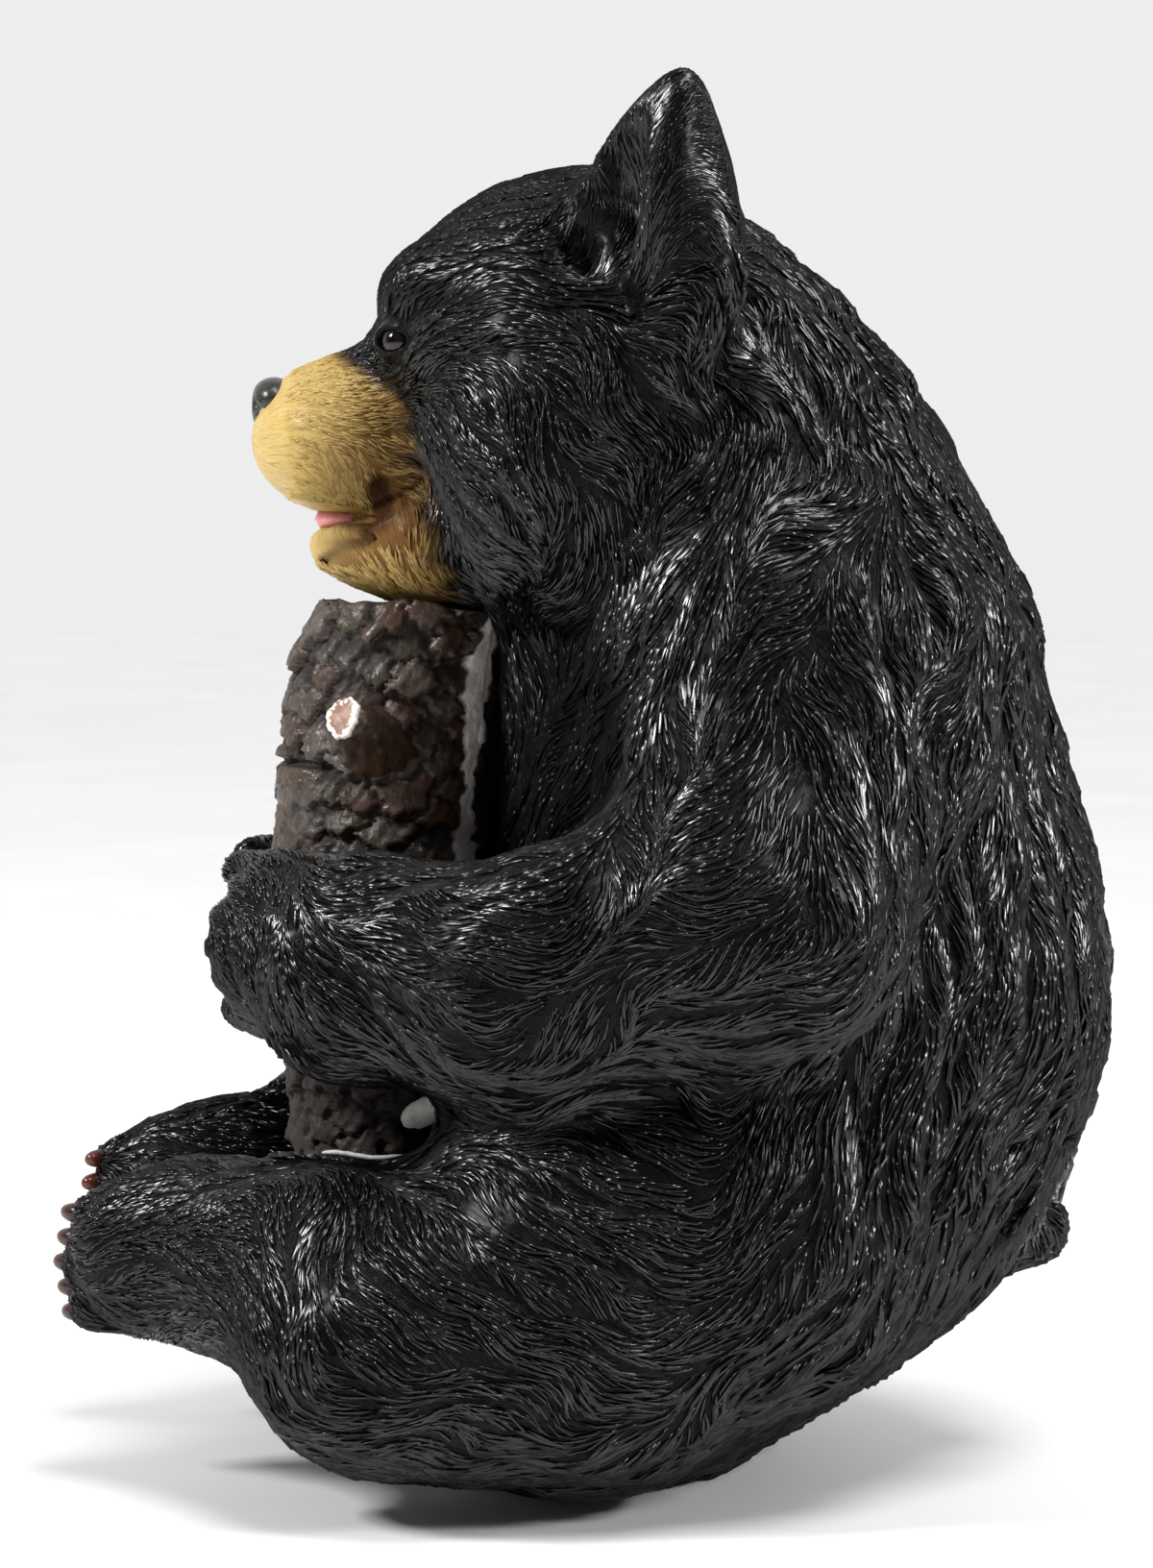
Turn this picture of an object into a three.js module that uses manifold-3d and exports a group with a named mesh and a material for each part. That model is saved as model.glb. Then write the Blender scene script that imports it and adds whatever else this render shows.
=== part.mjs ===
// Seated black bear hugging an upright log. Millimetres, +Z up, the bear faces -Y.
// The bear is one casting; the log is a second one that its arms and chest hold.
import * as THREE from 'three';
import Module from 'manifold-3d';

const wasm = await Module();
wasm.setup();

const FIT_GAP = 0.45; // free gap between the log and the bear
const PROJECT_STEPS = 3; // passes that pull a net corner on to the form
const PROBE = 0.4; // distance used to measure a slope
const SHORTEST_EDGE = 0.12; // edges under this are closed up
const PINCH_SHARE = 0.2; // how far a pinched corner is drawn back into its own fold
const TOES = 5;

// Torso sections from the seat to the crown of the neck: height, back, front, half width.
const SPINE = [
  { z: -14, back: 34, front: -44, half: 44 },
  { z: 8, back: 58, front: -50, half: 70 },
  { z: 34, back: 98, front: -52, half: 86 },
  { z: 59, back: 125, front: -46, half: 96 },
  { z: 95, back: 143, front: -36, half: 101 },
  { z: 146, back: 152.5, front: -26, half: 101 },
  { z: 190, back: 144, front: -22, half: 96 },
  { z: 221, back: 134.5, front: -16, half: 89 },
  { z: 249, back: 129, front: -11, half: 82 },
  { z: 275, back: 116, front: -10, half: 72 },
  { z: 300, back: 101, front: 0, half: 61 },
  { z: 325, back: 76, front: 20, half: 38 },
  { z: 345, back: 50, front: 28, half: 20 },
];
const SPINE_ROUNDING = 12;

// Log sections from the foot to the top: height, axis position along Y, radius.
const LOG = [
  { z: 84, axis: -52, radius: 32 },
  { z: 115, axis: -53, radius: 34 },
  { z: 176, axis: -54.5, radius: 34.5 },
  { z: 204, axis: -54, radius: 34 },
  { z: 230, axis: -52, radius: 32.6 },
  { z: 250, axis: -47, radius: 30.6 },
];
const LOG_AROUND = 24;
const LOG_RINGS = 12; // rings up the bark
const POCKET_RINGS = 6; // rings up the smooth space it sits in
const LOG_EDGE = 2.5; // rounding of the log's end edges
const PLATE_HEIGHT = 21; // height of one course of bark plates
const PLATE_DEPTH = 1.1;
const PLATES_AROUND = 5;

// Grid lines for the net, closer together where the face and the feet are.
const ACROSS = [[-174, -90, 21], [-90, 90, 10], [90, 174, 21]];
const ALONG = [[-172, -60, 11.2], [-60, 40, 12.5], [40, 184, 24]];
const UPWARD = [[-44, 40, 21], [40, 88, 16], [88, 148, 15], [148, 248, 20], [248, 338, 10], [338, 408, 10]];

const FUR_BLACK = 0x14110f;
const BARK_BROWN = 0x2a1a12;

const clamp = (value, low, high) => Math.min(high, Math.max(low, value));
const unit = (v) => {
  const size = Math.hypot(...v);
  return v.map((c) => c / size);
};
const cross = (a, b) => [
  a[1] * b[2] - a[2] * b[1],
  a[2] * b[0] - a[0] * b[2],
  a[0] * b[1] - a[1] * b[0],
];
const along = (a, b, t) => a.map((c, i) => c + (b[i] - c) * t);
const offset = (a, direction, distance) => a.map((c, i) => c + direction[i] * distance);

// Two distances joined with a rounding k wide.
function join(a, b, k) {
  const h = Math.max(k - Math.abs(a - b), 0) / k;
  return Math.min(a, b) - h * h * k * 0.25;
}

// The first distance with the second cut away, the edge rounded k wide.
const carve = (a, b, k) => -join(-a, b, k);

// Distance from an ellipsoid, to first order.
function ellipsoid(p, c, r) {
  const q = [(p[0] - c[0]) / r[0], (p[1] - c[1]) / r[1], (p[2] - c[2]) / r[2]];
  const near = Math.hypot(q[0], q[1], q[2]) + 1e-9;
  const slope = Math.hypot(q[0] / r[0], q[1] / r[1], q[2] / r[2]) + 1e-9;
  return near * (near - 1) / slope;
}

// Distance from a round bar that tapers from radius ra at a to rb at b.
function bar(p, a, b, ra, rb) {
  const ab = [b[0] - a[0], b[1] - a[1], b[2] - a[2]];
  const q = [p[0] - a[0], p[1] - a[1], p[2] - a[2]];
  const size = ab[0] * ab[0] + ab[1] * ab[1] + ab[2] * ab[2];
  const t = clamp((q[0] * ab[0] + q[1] * ab[1] + q[2] * ab[2]) / size, 0, 1);
  return Math.hypot(q[0] - ab[0] * t, q[1] - ab[1] * t, q[2] - ab[2] * t) - ra - (rb - ra) * t;
}

// Slope of a section table's column at one knot: a parabola through its neighbours.
function knotSlope(table, key, i) {
  const before = table[Math.max(i - 1, 0)];
  const here = table[i];
  const after = table[Math.min(i + 1, table.length - 1)];
  if (before === here) {
    return (after[key] - here[key]) / (after.z - here.z);
  }
  if (after === here) {
    return (here[key] - before[key]) / (here.z - before.z);
  }
  const low = here.z - before.z;
  const high = after.z - here.z;
  const lower = (here[key] - before[key]) / low;
  const upper = (after[key] - here[key]) / high;
  return (lower * high + upper * low) / (low + high);
}

// A section table's column at height z, as a smooth curve through the knots.
function section(table, key, z) {
  let i = 0;
  while (i < table.length - 2 && z > table[i + 1].z) {
    i += 1;
  }
  const a = table[i];
  const b = table[i + 1];
  const h = b.z - a.z;
  const t = clamp((z - a.z) / h, 0, 1);
  const t2 = t * t;
  const t3 = t2 * t;
  const start = (2 * t3 - 3 * t2 + 1) * a[key] + (t3 - 2 * t2 + t) * h * knotSlope(table, key, i);
  const end = (3 * t2 - 2 * t3) * b[key] + (t3 - t2) * h * knotSlope(table, key, i + 1);
  return start + end;
}

// Barrel of the body: an oval at every height.
function torso(p) {
  const z = p[2];
  const back = section(SPINE, 'back', z);
  const front = section(SPINE, 'front', z);
  const half = section(SPINE, 'half', z);
  const depth = (back - front) / 2;
  const qx = p[0] / half;
  const qy = (p[1] - (back + front) / 2) / depth;
  const near = Math.hypot(qx, qy) + 1e-9;
  const slope = Math.hypot(qx / half, qy / depth) + 1e-9;
  const ends = Math.max(SPINE[0].z - z, z - SPINE[SPINE.length - 1].z);
  return -join(-near * (near - 1) / slope, -ends, SPINE_ROUNDING);
}

// Shoulder, elbow, forearm and wrist; the hand closes round the log's front.
function arm(m) {
  let d = bar(m, [66, 60, 226], [104, 46, 166], 44, 38);
  d = join(d, bar(m, [104, 46, 166], [94, -14, 147], 38, 33), 14);
  d = join(d, bar(m, [94, -14, 147], [64, -60, 149], 33, 29), 10);
  return join(d, bar(m, [64, -60, 149], [42, -80, 154], 29, 26), 10);
}

// The right knee is drawn up a little higher than the left, and the right foot with it.
const RIGHT_KNEE = { centre: [-76, -78, 84], radii: [22, 20, 22] };
const RIGHT_FOOT_LIFT = 5;

// How far the leg is lifted at p: nothing on the left and under the body, all of it at the right foot.
function legLift(p) {
  return RIGHT_FOOT_LIFT * clamp(-p[0] / 30, 0, 1) * clamp((-p[1] - 50) / 50, 0, 1);
}

// Thigh, shin and the foot whose sole is turned inward.
function leg(m) {
  let d = ellipsoid(m, [72, 44, 80], [54, 53, 53]);
  d = join(d, ellipsoid(m, [78, 0, 60], [56, 59, 56]), 14);
  d = join(d, ellipsoid(m, [92, -44, 49], [46, 49, 40]), 14);
  d = join(d, bar(m, [82, -64, 62], [50, -98, 66], 34, 28), 10);
  return join(d, ellipsoid(m, [43, -112, 66], [22, 32, 26]), 8);
}

// The ear's own directions: out of its hollow, across it and up it.
const EAR_UP = unit([0.26, 0.14, 1]);
const EAR_OUT = unit([0.5, -0.86, 0.02]);
const EAR_WIDE = unit(cross(EAR_UP, EAR_OUT));
const EAR_TALL = cross(EAR_OUT, EAR_WIDE);
const EAR_CENTRE = [56, 21, 351];
const EAR_NARROWING = 0.56;
const EAR_THINNING = 0.35;

// A point measured from c along the ear's own directions.
function inEar(m, c) {
  const q = [m[0] - c[0], m[1] - c[1], m[2] - c[2]];
  return [EAR_OUT, EAR_WIDE, EAR_TALL].map((way) => q[0] * way[0] + q[1] * way[1] + q[2] * way[2]);
}

// A flattened lobe that narrows and thins towards its top.
function lobe(m, c, r) {
  const [out, wide, tall] = inEar(m, c);
  const rise = clamp(tall / r[2], 0, 1);
  const narrowed = wide / (1 - EAR_NARROWING * rise ** 1.2);
  const thinned = out / (1 - EAR_THINNING * rise ** 3);
  return ellipsoid([thinned, narrowed, tall], [0, 0, 0], r) * 0.8;
}

function ear(m) {
  const mouth = offset([EAR_CENTRE[0], EAR_CENTRE[1], EAR_CENTRE[2] + 5], EAR_OUT, 19);
  return carve(lobe(m, EAR_CENTRE, [19, 35.5, 49.5]), lobe(m, mouth, [19, 27, 37.5]), 5);
}

// Skull, cheeks, ruff, brow, muzzle with the lower jaw under it, the ears and their deep roots.
function head(p, m) {
  let d = ellipsoid(p, [0, 3, 321], [70, 61.5, 54.5]);
  d = join(d, ellipsoid(m, [44, -2, 292], [34, 36, 38]), 18);
  d = join(d, ellipsoid(p, [0, 4, 268], [56, 44, 34]), 16);
  d = join(d, ellipsoid(m, [22, -41, 339], [21, 15, 13]), 9);
  let muzzle = ellipsoid(p, [0, -64, 297], [30, 31, 22.5]);
  muzzle = join(muzzle, bar(p, [0, -76, 305.5], [0, -50, 311.5], 11, 17.5), 8);
  let jaw = ellipsoid(p, [0, -59, 265.5], [20, 19, 10]);
  jaw = join(jaw, ellipsoid(p, [0, -40, 268], [36, 28, 20]), 8);
  muzzle = join(muzzle, jaw, 3.5);
  d = join(d, muzzle, 9);
  d = join(d, ear(m), 7);
  const earRoot = ellipsoid(inEar(m, [59, 2, 353]), [0, 0, 0], [12, 13, 12]);
  return carve(d, earRoot, 4);
}

// The whole animal but for its toes, claws, eyes, nose and tongue.
function bearForm(p) {
  const m = [Math.abs(p[0]), p[1], p[2]];
  let d = torso(p);
  d = join(d, ellipsoid(p, [0, 48, 268], [74, 51, 76]), 22);
  d = join(d, ellipsoid(m, [56, 64, 232], [46, 50, 50]), 24);
  d = join(d, arm(m), 16);
  d = join(d, leg([m[0], m[1], m[2] - legLift(p)]), 24);
  d = join(d, ellipsoid(p, RIGHT_KNEE.centre, RIGHT_KNEE.radii), 10);
  d = join(d, ellipsoid(p, [0, 128, 66], [13, 14, 8]), 6);
  d = join(d, head(p, m), 16);
  d = join(d, ellipsoid(p, [0, 0, 222], [32, 26, 40]), 12);
  return join(d, bar(m, [72, -22, 110], [72, 14, 112], 12, 14), 12);
}

// Grid lines from stretches of [start, end, step].
function lines(stretches) {
  const out = [stretches[0][0]];
  for (const [start, end, step] of stretches) {
    const count = Math.round((end - start) / step);
    for (let i = 1; i <= count; i += 1) {
      out.push(start + (end - start) * i / count);
    }
  }
  return out;
}

// Moves a point along the form's slope until it lies on the surface, inside its cell.
function settle(form, start, low, high) {
  let p = start;
  for (let pass = 0; pass < PROJECT_STEPS; pass += 1) {
    const d = form(p);
    const slope = [0, 1, 2].map((axis) => {
      const q = p.slice();
      q[axis] += PROBE;
      return (form(q) - d) / PROBE;
    });
    const size = slope.reduce((sum, c) => sum + c * c, 1e-6);
    p = p.map((c, i) => clamp(c - d * slope[i] / size, low[i], high[i]));
  }
  return p;
}

// Closed net over a form: one corner in each cell the surface crosses, one face per crossing.
function net(form, xs, ys, zs) {
  const axes = [xs, ys, zs];
  const index = (i, j, k) => (i * ys.length + j) * zs.length + k;
  const value = new Float64Array(xs.length * ys.length * zs.length);
  xs.forEach((x, i) => ys.forEach((y, j) => zs.forEach((z, k) => {
    value[index(i, j, k)] = form([x, y, z]);
  })));
  const corners = [];
  const cornerOf = new Map();
  const cornerAt = (cell) => {
    const key = index(...cell);
    if (!cornerOf.has(key)) {
      const sum = [0, 0, 0];
      let crossings = 0;
      for (let axis = 0; axis < 3; axis += 1) {
        for (let side = 0; side < 4; side += 1) {
          const a = cell.slice();
          a[(axis + 1) % 3] += side % 2;
          a[(axis + 2) % 3] += side >> 1;
          const b = a.slice();
          b[axis] += 1;
          const va = value[index(...a)];
          const vb = value[index(...b)];
          if (va < 0 !== vb < 0) {
            const t = va / (va - vb);
            a.forEach((n, i) => {
              sum[i] += axes[i][n] + (axes[i][b[i]] - axes[i][n]) * t;
            });
            crossings += 1;
          }
        }
      }
      const low = cell.map((n, i) => axes[i][n]);
      const high = cell.map((n, i) => axes[i][n + 1]);
      cornerOf.set(key, corners.length);
      corners.push(settle(form, sum.map((c) => c / crossings), low, high));
    }
    return cornerOf.get(key);
  };
  const faces = [];
  const apart = (a, b) => Math.hypot(...corners[a].map((c, i) => c - corners[b][i]));
  for (let i = 1; i < xs.length - 1; i += 1) {
    for (let j = 1; j < ys.length - 1; j += 1) {
      for (let k = 1; k < zs.length - 1; k += 1) {
        const here = value[index(i, j, k)];
        for (let axis = 0; axis < 3; axis += 1) {
          const next = [i, j, k];
          next[axis] += 1;
          const there = value[index(...next)];
          if (here < 0 === there < 0) {
            continue;
          }
          const ring = [[0, 0], [-1, 0], [-1, -1], [0, -1]].map(([u, v]) => {
            const cell = [i, j, k];
            cell[(axis + 1) % 3] += u;
            cell[(axis + 2) % 3] += v;
            return cornerAt(cell);
          });
          if (here >= 0) {
            ring.reverse();
          }
          const [a, b, c, d] = ring;
          if (apart(a, c) < apart(b, d)) {
            faces.push([a, b, c], [a, c, d]);
          } else {
            faces.push([a, b, d], [b, c, d]);
          }
        }
      }
    }
  }
  const pinched = unpack(solid(corners, faces));
  return solid(partPinches(pinched), pinched.faces);
}

// A solid from corners and the triangles between them.
function solid(corners, faces) {
  const mesh = new wasm.Mesh({
    numProp: 3,
    vertProperties: new Float32Array(corners.flat()),
    triVerts: new Uint32Array(faces.flat()),
  });
  return new wasm.Manifold(mesh);
}

// The corners and the triangles of a solid.
function unpack(shape) {
  const mesh = shape.getMesh();
  const pick = (list, n) => [list[n * 3], list[n * 3 + 1], list[n * 3 + 2]];
  const corners = Array.from({ length: mesh.numVert }, (_, n) => pick(mesh.vertProperties, n));
  const faces = Array.from({ length: mesh.numTri }, (_, n) => pick(mesh.triVerts, n));
  return { corners, faces };
}

// Faces round every corner.
function fans(faces, count) {
  const around = Array.from({ length: count }, () => []);
  faces.forEach((face) => face.forEach((corner) => around[corner].push(face)));
  return around;
}

// Where two folds of the skin touch at a corner, each fold's own corner is drawn back.
function partPinches({ corners, faces }) {
  const around = fans(faces, corners.length);
  const places = new Map();
  corners.forEach((corner) => {
    const key = corner.join();
    places.set(key, (places.get(key) ?? 0) + 1);
  });
  return corners.map((corner, n) => {
    if (places.get(corner.join()) === 1) {
      return corner;
    }
    const ring = around[n].flat().filter((other) => other !== n);
    const mean = [0, 1, 2].map((i) => ring.reduce((sum, c) => sum + corners[c][i], 0) / ring.length);
    return along(corner, mean, PINCH_SHARE);
  });
}

// Rings of equal size closed over by a point at each end.
function skin(rings, first, last) {
  const around = rings[0].length;
  const corners = [...rings.flat(), first, last];
  const faces = [];
  const top = (rings.length - 1) * around;
  for (let i = 0; i < around; i += 1) {
    const next = (i + 1) % around;
    faces.push([corners.length - 2, next, i]);
    faces.push([corners.length - 1, top + i, top + next]);
    for (let r = 0; r < rings.length - 1; r += 1) {
      const a = r * around;
      const b = a + around;
      faces.push([a + i, a + next, b + next], [a + i, b + next, b + i]);
    }
  }
  return solid(corners, faces);
}

// A tube through stations of { at, wide, tall }, pointed or domed at each end by `ends`.
function tube(stations, side, around, ends) {
  const rings = stations.map((s, n) => {
    const before = stations[Math.max(n - 1, 0)].at;
    const after = stations[Math.min(n + 1, stations.length - 1)].at;
    const forward = unit(after.map((c, i) => c - before[i]));
    const up = unit(cross(forward, side));
    const across = cross(up, forward);
    return Array.from({ length: around }, (_, i) => {
      const turn = 2 * Math.PI * i / around;
      return offset(offset(s.at, across, s.wide * Math.cos(turn)), up, s.tall * Math.sin(turn));
    });
  });
  const start = stations[0].at;
  const second = stations[1].at;
  const last = stations[stations.length - 1].at;
  const previous = stations[stations.length - 2].at;
  const tail = offset(start, unit(start.map((c, i) => c - second[i])), ends[0]);
  const tip = offset(last, unit(last.map((c, i) => c - previous[i])), ends[1]);
  return skin(rings, tail, tip);
}

// One toe with the blunt claw that grows from its end and bends inward.
const TOE_AROUND = 8;
const CLAW_AROUND = 5;
function toe(root, tip, rootRadius, tipRadius, inward, clawLength) {
  const forward = unit(tip.map((c, i) => c - root[i]));
  const side = unit(cross(forward, [0, 0, 1]));
  const dome = tipRadius * 0.62;
  const pod = tube([
    { at: root, wide: rootRadius, tall: rootRadius },
    { at: tip, wide: tipRadius, tall: tipRadius * 0.96 },
    { at: offset(tip, forward, dome), wide: tipRadius * 0.7, tall: tipRadius * 0.68 },
  ], side, TOE_AROUND, [1, tipRadius * 0.3]);
  const stations = [0, 1, 2].map((n) => {
    const t = n / 2;
    const reach = tipRadius * 0.2 + clawLength * t;
    const bend = 0.45 * clawLength * t * t;
    const size = 2.9 * (1 - 0.6 * t * t);
    return { at: offset(offset(tip, forward, reach), inward, bend), wide: size * 0.9, tall: size };
  });
  return pod.add(tube(stations, side, CLAW_AROUND, [0.5, 0.8]));
}

// The five toes of a hand; `way` is 1 for the left side and -1 for the right.
function hand(way) {
  const toes = Array.from({ length: TOES }, (_, i) => {
    const u = i - 2;
    const root = [way * 44, -84, 153.5 - u * 8.2];
    const tip = [way * (29 - Math.abs(u) * 1.5), -98 + Math.abs(u) * 0.9, 153.5 - u * 9.6];
    return toe(root, tip, 9.5, 6.6, unit([-way * 0.35, 0.9, 0]), 7.2);
  });
  return toes.reduce((sum, next) => sum.add(next));
}

function foot(way) {
  const lift = way < 0 ? RIGHT_FOOT_LIFT : 0;
  const toes = Array.from({ length: TOES }, (_, i) => {
    const u = i - 2;
    const root = [way * 42, -124, 63.6 + lift - u * 6.4];
    const tip = [way * 39.5, -141 + Math.abs(u) * 1.1, 62.6 + lift - u * 6.9];
    return toe(root, tip, 9.5, 6.2, [-way, 0, 0], 7.4);
  });
  return toes.reduce((sum, next) => sum.add(next));
}

// A round bead, squashed along each axis.
function bead(centre, size, around, rings) {
  const ring = (n) => {
    const lift = Math.PI * (n + 1) / (rings + 1);
    return Array.from({ length: around }, (_, i) => {
      const turn = 2 * Math.PI * i / around;
      return [
        centre[0] + size[0] * Math.sin(lift) * Math.cos(turn),
        centre[1] + size[1] * Math.sin(lift) * Math.sin(turn),
        centre[2] - size[2] * Math.cos(lift),
      ];
    });
  };
  const low = [centre[0], centre[1], centre[2] - size[2]];
  const high = [centre[0], centre[1], centre[2] + size[2]];
  return skin(Array.from({ length: rings }, (_, n) => ring(n)), low, high);
}

// The log: bark plates in courses make its wall step in and out; the ends are flat.
function logWall(turn, z, grow, depth) {
  const radius = section(LOG, 'radius', z);
  const axis = section(LOG, 'axis', z);
  const course = Math.floor(z / PLATE_HEIGHT);
  const climb = z / PLATE_HEIGHT - course;
  const swell = Math.sin(Math.PI * climb) - 0.5;
  const knuckle = Math.cos(PLATES_AROUND * turn + course * 1.9);
  const reach = radius + grow + depth * (0.6 * swell + 0.5 * knuckle - 0.8);
  return [reach * Math.cos(turn), axis + reach * Math.sin(turn), z];
}

function logSolid(grow, depth, count) {
  const foot = LOG[0].z - grow;
  const top = LOG[LOG.length - 1].z + grow;
  const rings = [];
  const ring = (z, inset) => Array.from({ length: LOG_AROUND }, (_, i) => {
    return logWall(2 * Math.PI * i / LOG_AROUND, z, grow - inset, depth);
  });
  rings.push(ring(foot, LOG_EDGE));
  for (let n = 0; n <= count; n += 1) {
    const low = foot + LOG_EDGE;
    const high = top - LOG_EDGE;
    rings.push(ring(low + (high - low) * n / count, 0));
  }
  rings.push(ring(top, LOG_EDGE));
  const lowMiddle = [0, LOG[0].axis, foot];
  const highMiddle = [0, LOG[LOG.length - 1].axis, top];
  const wall = skin(rings, lowMiddle, highMiddle);
  const stub = tube([
    { at: [21, -56, 207], wide: 12 + grow, tall: 13 + grow },
    { at: [32, -60.2, 211.7], wide: 9.3 + grow, tall: 10.4 + grow },
    { at: [41, -64, 215.5], wide: 6.7 + grow, tall: 7.6 + grow },
    { at: [47.5, -66.6, 218.4], wide: 5.1 + grow, tall: 6.1 + grow },
  ], [0, 0, 1], 12, [1, 0.6]);
  return wall.add(stub);
}

const log = logSolid(0, PLATE_DEPTH, LOG_RINGS);

// Everything of the bear that is joined on to the body.
const eyes = [1, -1].map((way) => bead([way * 30, -52.5, 326], [4.2, 5, 4.6], 10, 5));
const nose = tube([
  { at: [0, -78, 308], wide: 8, tall: 7 },
  { at: [0, -86, 308.5], wide: 11.5, tall: 8.6 },
  { at: [0, -92, 309], wide: 11, tall: 7.6 },
  { at: [0, -95.5, 309.5], wide: 7.4, tall: 4.6 },
], [1, 0, 0], 12, [0.5, 0.8]);
const tongue = tube([
  { at: [0, -56, 276], wide: 10, tall: 3 },
  { at: [0, -70, 276.5], wide: 10, tall: 2.6 },
  { at: [0, -78, 276], wide: 7, tall: 2 },
], [1, 0, 0], 10, [1, 1.4]);

const grown = net(bearForm, lines(ACROSS), lines(ALONG), lines(UPWARD));
const parts = [...eyes, nose, tongue, hand(1), hand(-1), foot(1), foot(-1)];
const whole = parts.reduce((sum, next) => sum.add(next), grown);

// The seat is cut flat, and the log's own space is cut out with its free gap.
const below = skin([
  [[-200, -200, -60], [200, -200, -60], [200, 200, -60], [-200, 200, -60]],
  [[-200, -200, 0], [200, -200, 0], [200, 200, 0], [-200, 200, 0]],
], [0, 0, -60], [0, 0, 0]);
const bear = whole.subtract(below).subtract(logSolid(FIT_GAP, 0, POCKET_RINGS));

const normal = (a, b, c) => cross(b.map((v, i) => v - a[i]), c.map((v, i) => v - a[i]));

// Whether corner b can slide on to corner a: the skin stays closed and no face turns over.
function canClose(a, b, corners, around) {
  const near = new Set(around[a].flat());
  const shared = [...new Set(around[b].flat())].filter((c) => c !== a && c !== b && near.has(c));
  if (shared.length !== 2) {
    return false;
  }
  return around[b].every((face) => {
    if (face.includes(a)) {
      return true;
    }
    const before = normal(...face.map((c) => corners[c]));
    const after = normal(...face.map((c) => corners[c === b ? a : c]));
    return before[0] * after[0] + before[1] * after[1] + before[2] * after[2] >= 0;
  });
}

// Closes up the slivers' short edges that joins and cuts leave behind.
function closeShortEdges(corners, allFaces) {
  let faces = allFaces;
  let closed = 1;
  while (closed > 0) {
    const around = fans(faces, corners.length);
    const touched = new Set();
    const moved = new Map();
    for (const face of faces) {
      for (let i = 0; i < 3; i += 1) {
        const a = face[i];
        const b = face[(i + 1) % 3];
        const length = Math.hypot(...corners[a].map((c, n) => c - corners[b][n]));
        const fresh = !touched.has(a) && !touched.has(b);
        if (length < SHORTEST_EDGE && fresh && canClose(a, b, corners, around)) {
          moved.set(b, a);
          around[b].flat().forEach((corner) => touched.add(corner));
        }
      }
    }
    const swapped = faces.map((face) => face.map((corner) => moved.get(corner) ?? corner));
    faces = swapped.filter(([a, b, c]) => a !== b && b !== c && c !== a);
    closed = moved.size;
  }
  return faces;
}

// Each named node of the part, from its solid.
function node(name, shape, colour, roughness) {
  const { corners, faces } = unpack(shape);
  const used = closeShortEdges(corners, faces);
  const geometry = new THREE.BufferGeometry();
  geometry.setAttribute('position', new THREE.Float32BufferAttribute(corners.flat(), 3));
  geometry.setIndex(used.flat());
  geometry.computeVertexNormals();
  const material = new THREE.MeshStandardMaterial({ color: colour, roughness, metalness: 0 });
  const out = new THREE.Mesh(geometry, material);
  out.name = name;
  return out;
}

const part = new THREE.Group();
part.name = 'seated_bear_with_log';
part.add(node('bear', bear, FUR_BLACK, 0.4));
part.add(node('log', log, BARK_BROWN, 0.5));

export default part;
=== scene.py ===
"""Seated black bear hugging a bark-covered log: two painted castings, the fur in fine relief."""
import math

import bpy
import numpy as np
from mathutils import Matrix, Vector


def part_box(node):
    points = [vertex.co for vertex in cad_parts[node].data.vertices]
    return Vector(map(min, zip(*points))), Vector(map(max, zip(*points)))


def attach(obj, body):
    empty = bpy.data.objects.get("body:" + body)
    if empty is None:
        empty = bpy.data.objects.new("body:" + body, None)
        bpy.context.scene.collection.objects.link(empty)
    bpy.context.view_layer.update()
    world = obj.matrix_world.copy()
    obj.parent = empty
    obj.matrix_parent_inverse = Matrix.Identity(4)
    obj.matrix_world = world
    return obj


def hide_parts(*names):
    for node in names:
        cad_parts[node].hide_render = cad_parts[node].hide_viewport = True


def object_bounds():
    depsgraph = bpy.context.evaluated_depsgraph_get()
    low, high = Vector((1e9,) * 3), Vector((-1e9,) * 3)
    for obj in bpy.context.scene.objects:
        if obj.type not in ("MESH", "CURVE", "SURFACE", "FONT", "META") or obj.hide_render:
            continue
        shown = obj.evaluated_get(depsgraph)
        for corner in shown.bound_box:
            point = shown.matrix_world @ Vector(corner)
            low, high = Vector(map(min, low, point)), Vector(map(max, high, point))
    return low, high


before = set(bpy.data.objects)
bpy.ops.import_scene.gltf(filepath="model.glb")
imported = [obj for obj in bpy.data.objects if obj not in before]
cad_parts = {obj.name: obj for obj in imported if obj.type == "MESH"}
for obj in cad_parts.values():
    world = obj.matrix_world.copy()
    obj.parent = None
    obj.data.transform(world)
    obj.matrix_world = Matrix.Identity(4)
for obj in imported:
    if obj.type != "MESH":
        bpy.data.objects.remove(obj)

CAD_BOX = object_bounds()
MM = 0.001
F = np.float32
BEAR_LOW, BEAR_HIGH = (np.array(c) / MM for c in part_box("bear"))
LOG_LOW, LOG_HIGH = (np.array(c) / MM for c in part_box("log"))

# Every measure below is in millimetres from a point on the seat's plane under the bear, x to the
# bear's left, y to its back and z up. The hump of its back lies at BACK_AT, and HOME carries a
# measure to its place in the frame.
BACK_AT = 152.3
HOME = np.array([(BEAR_LOW[0] + BEAR_HIGH[0]) / 2, BEAR_HIGH[1] - BACK_AT, BEAR_LOW[2]])
LEFT_AND_RIGHT = (1, -1)

BODY_STEP = 3.1  # grid step of the body
FACE_STEP = 1.15  # of the muzzle and the eyelids
EAR_STEP = 1.7
NOSE_STEP = 0.75
ROOM_LOW, ROOM_HIGH = (-158.1, -164, -12), (158.1, 166, 412)  # the body's grid, corner to corner

TUFT_LENGTH, TUFT_WIDTH = 15.0, 5.6  # half sizes of a tuft of hair
TUFT_SINK = 0.9  # how far the tufts' feet lie under the plain skin
BODY_COVER, EAR_COVER = 0.322, 0.34  # skin that a hair takes up, as a share of its length by its width


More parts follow.
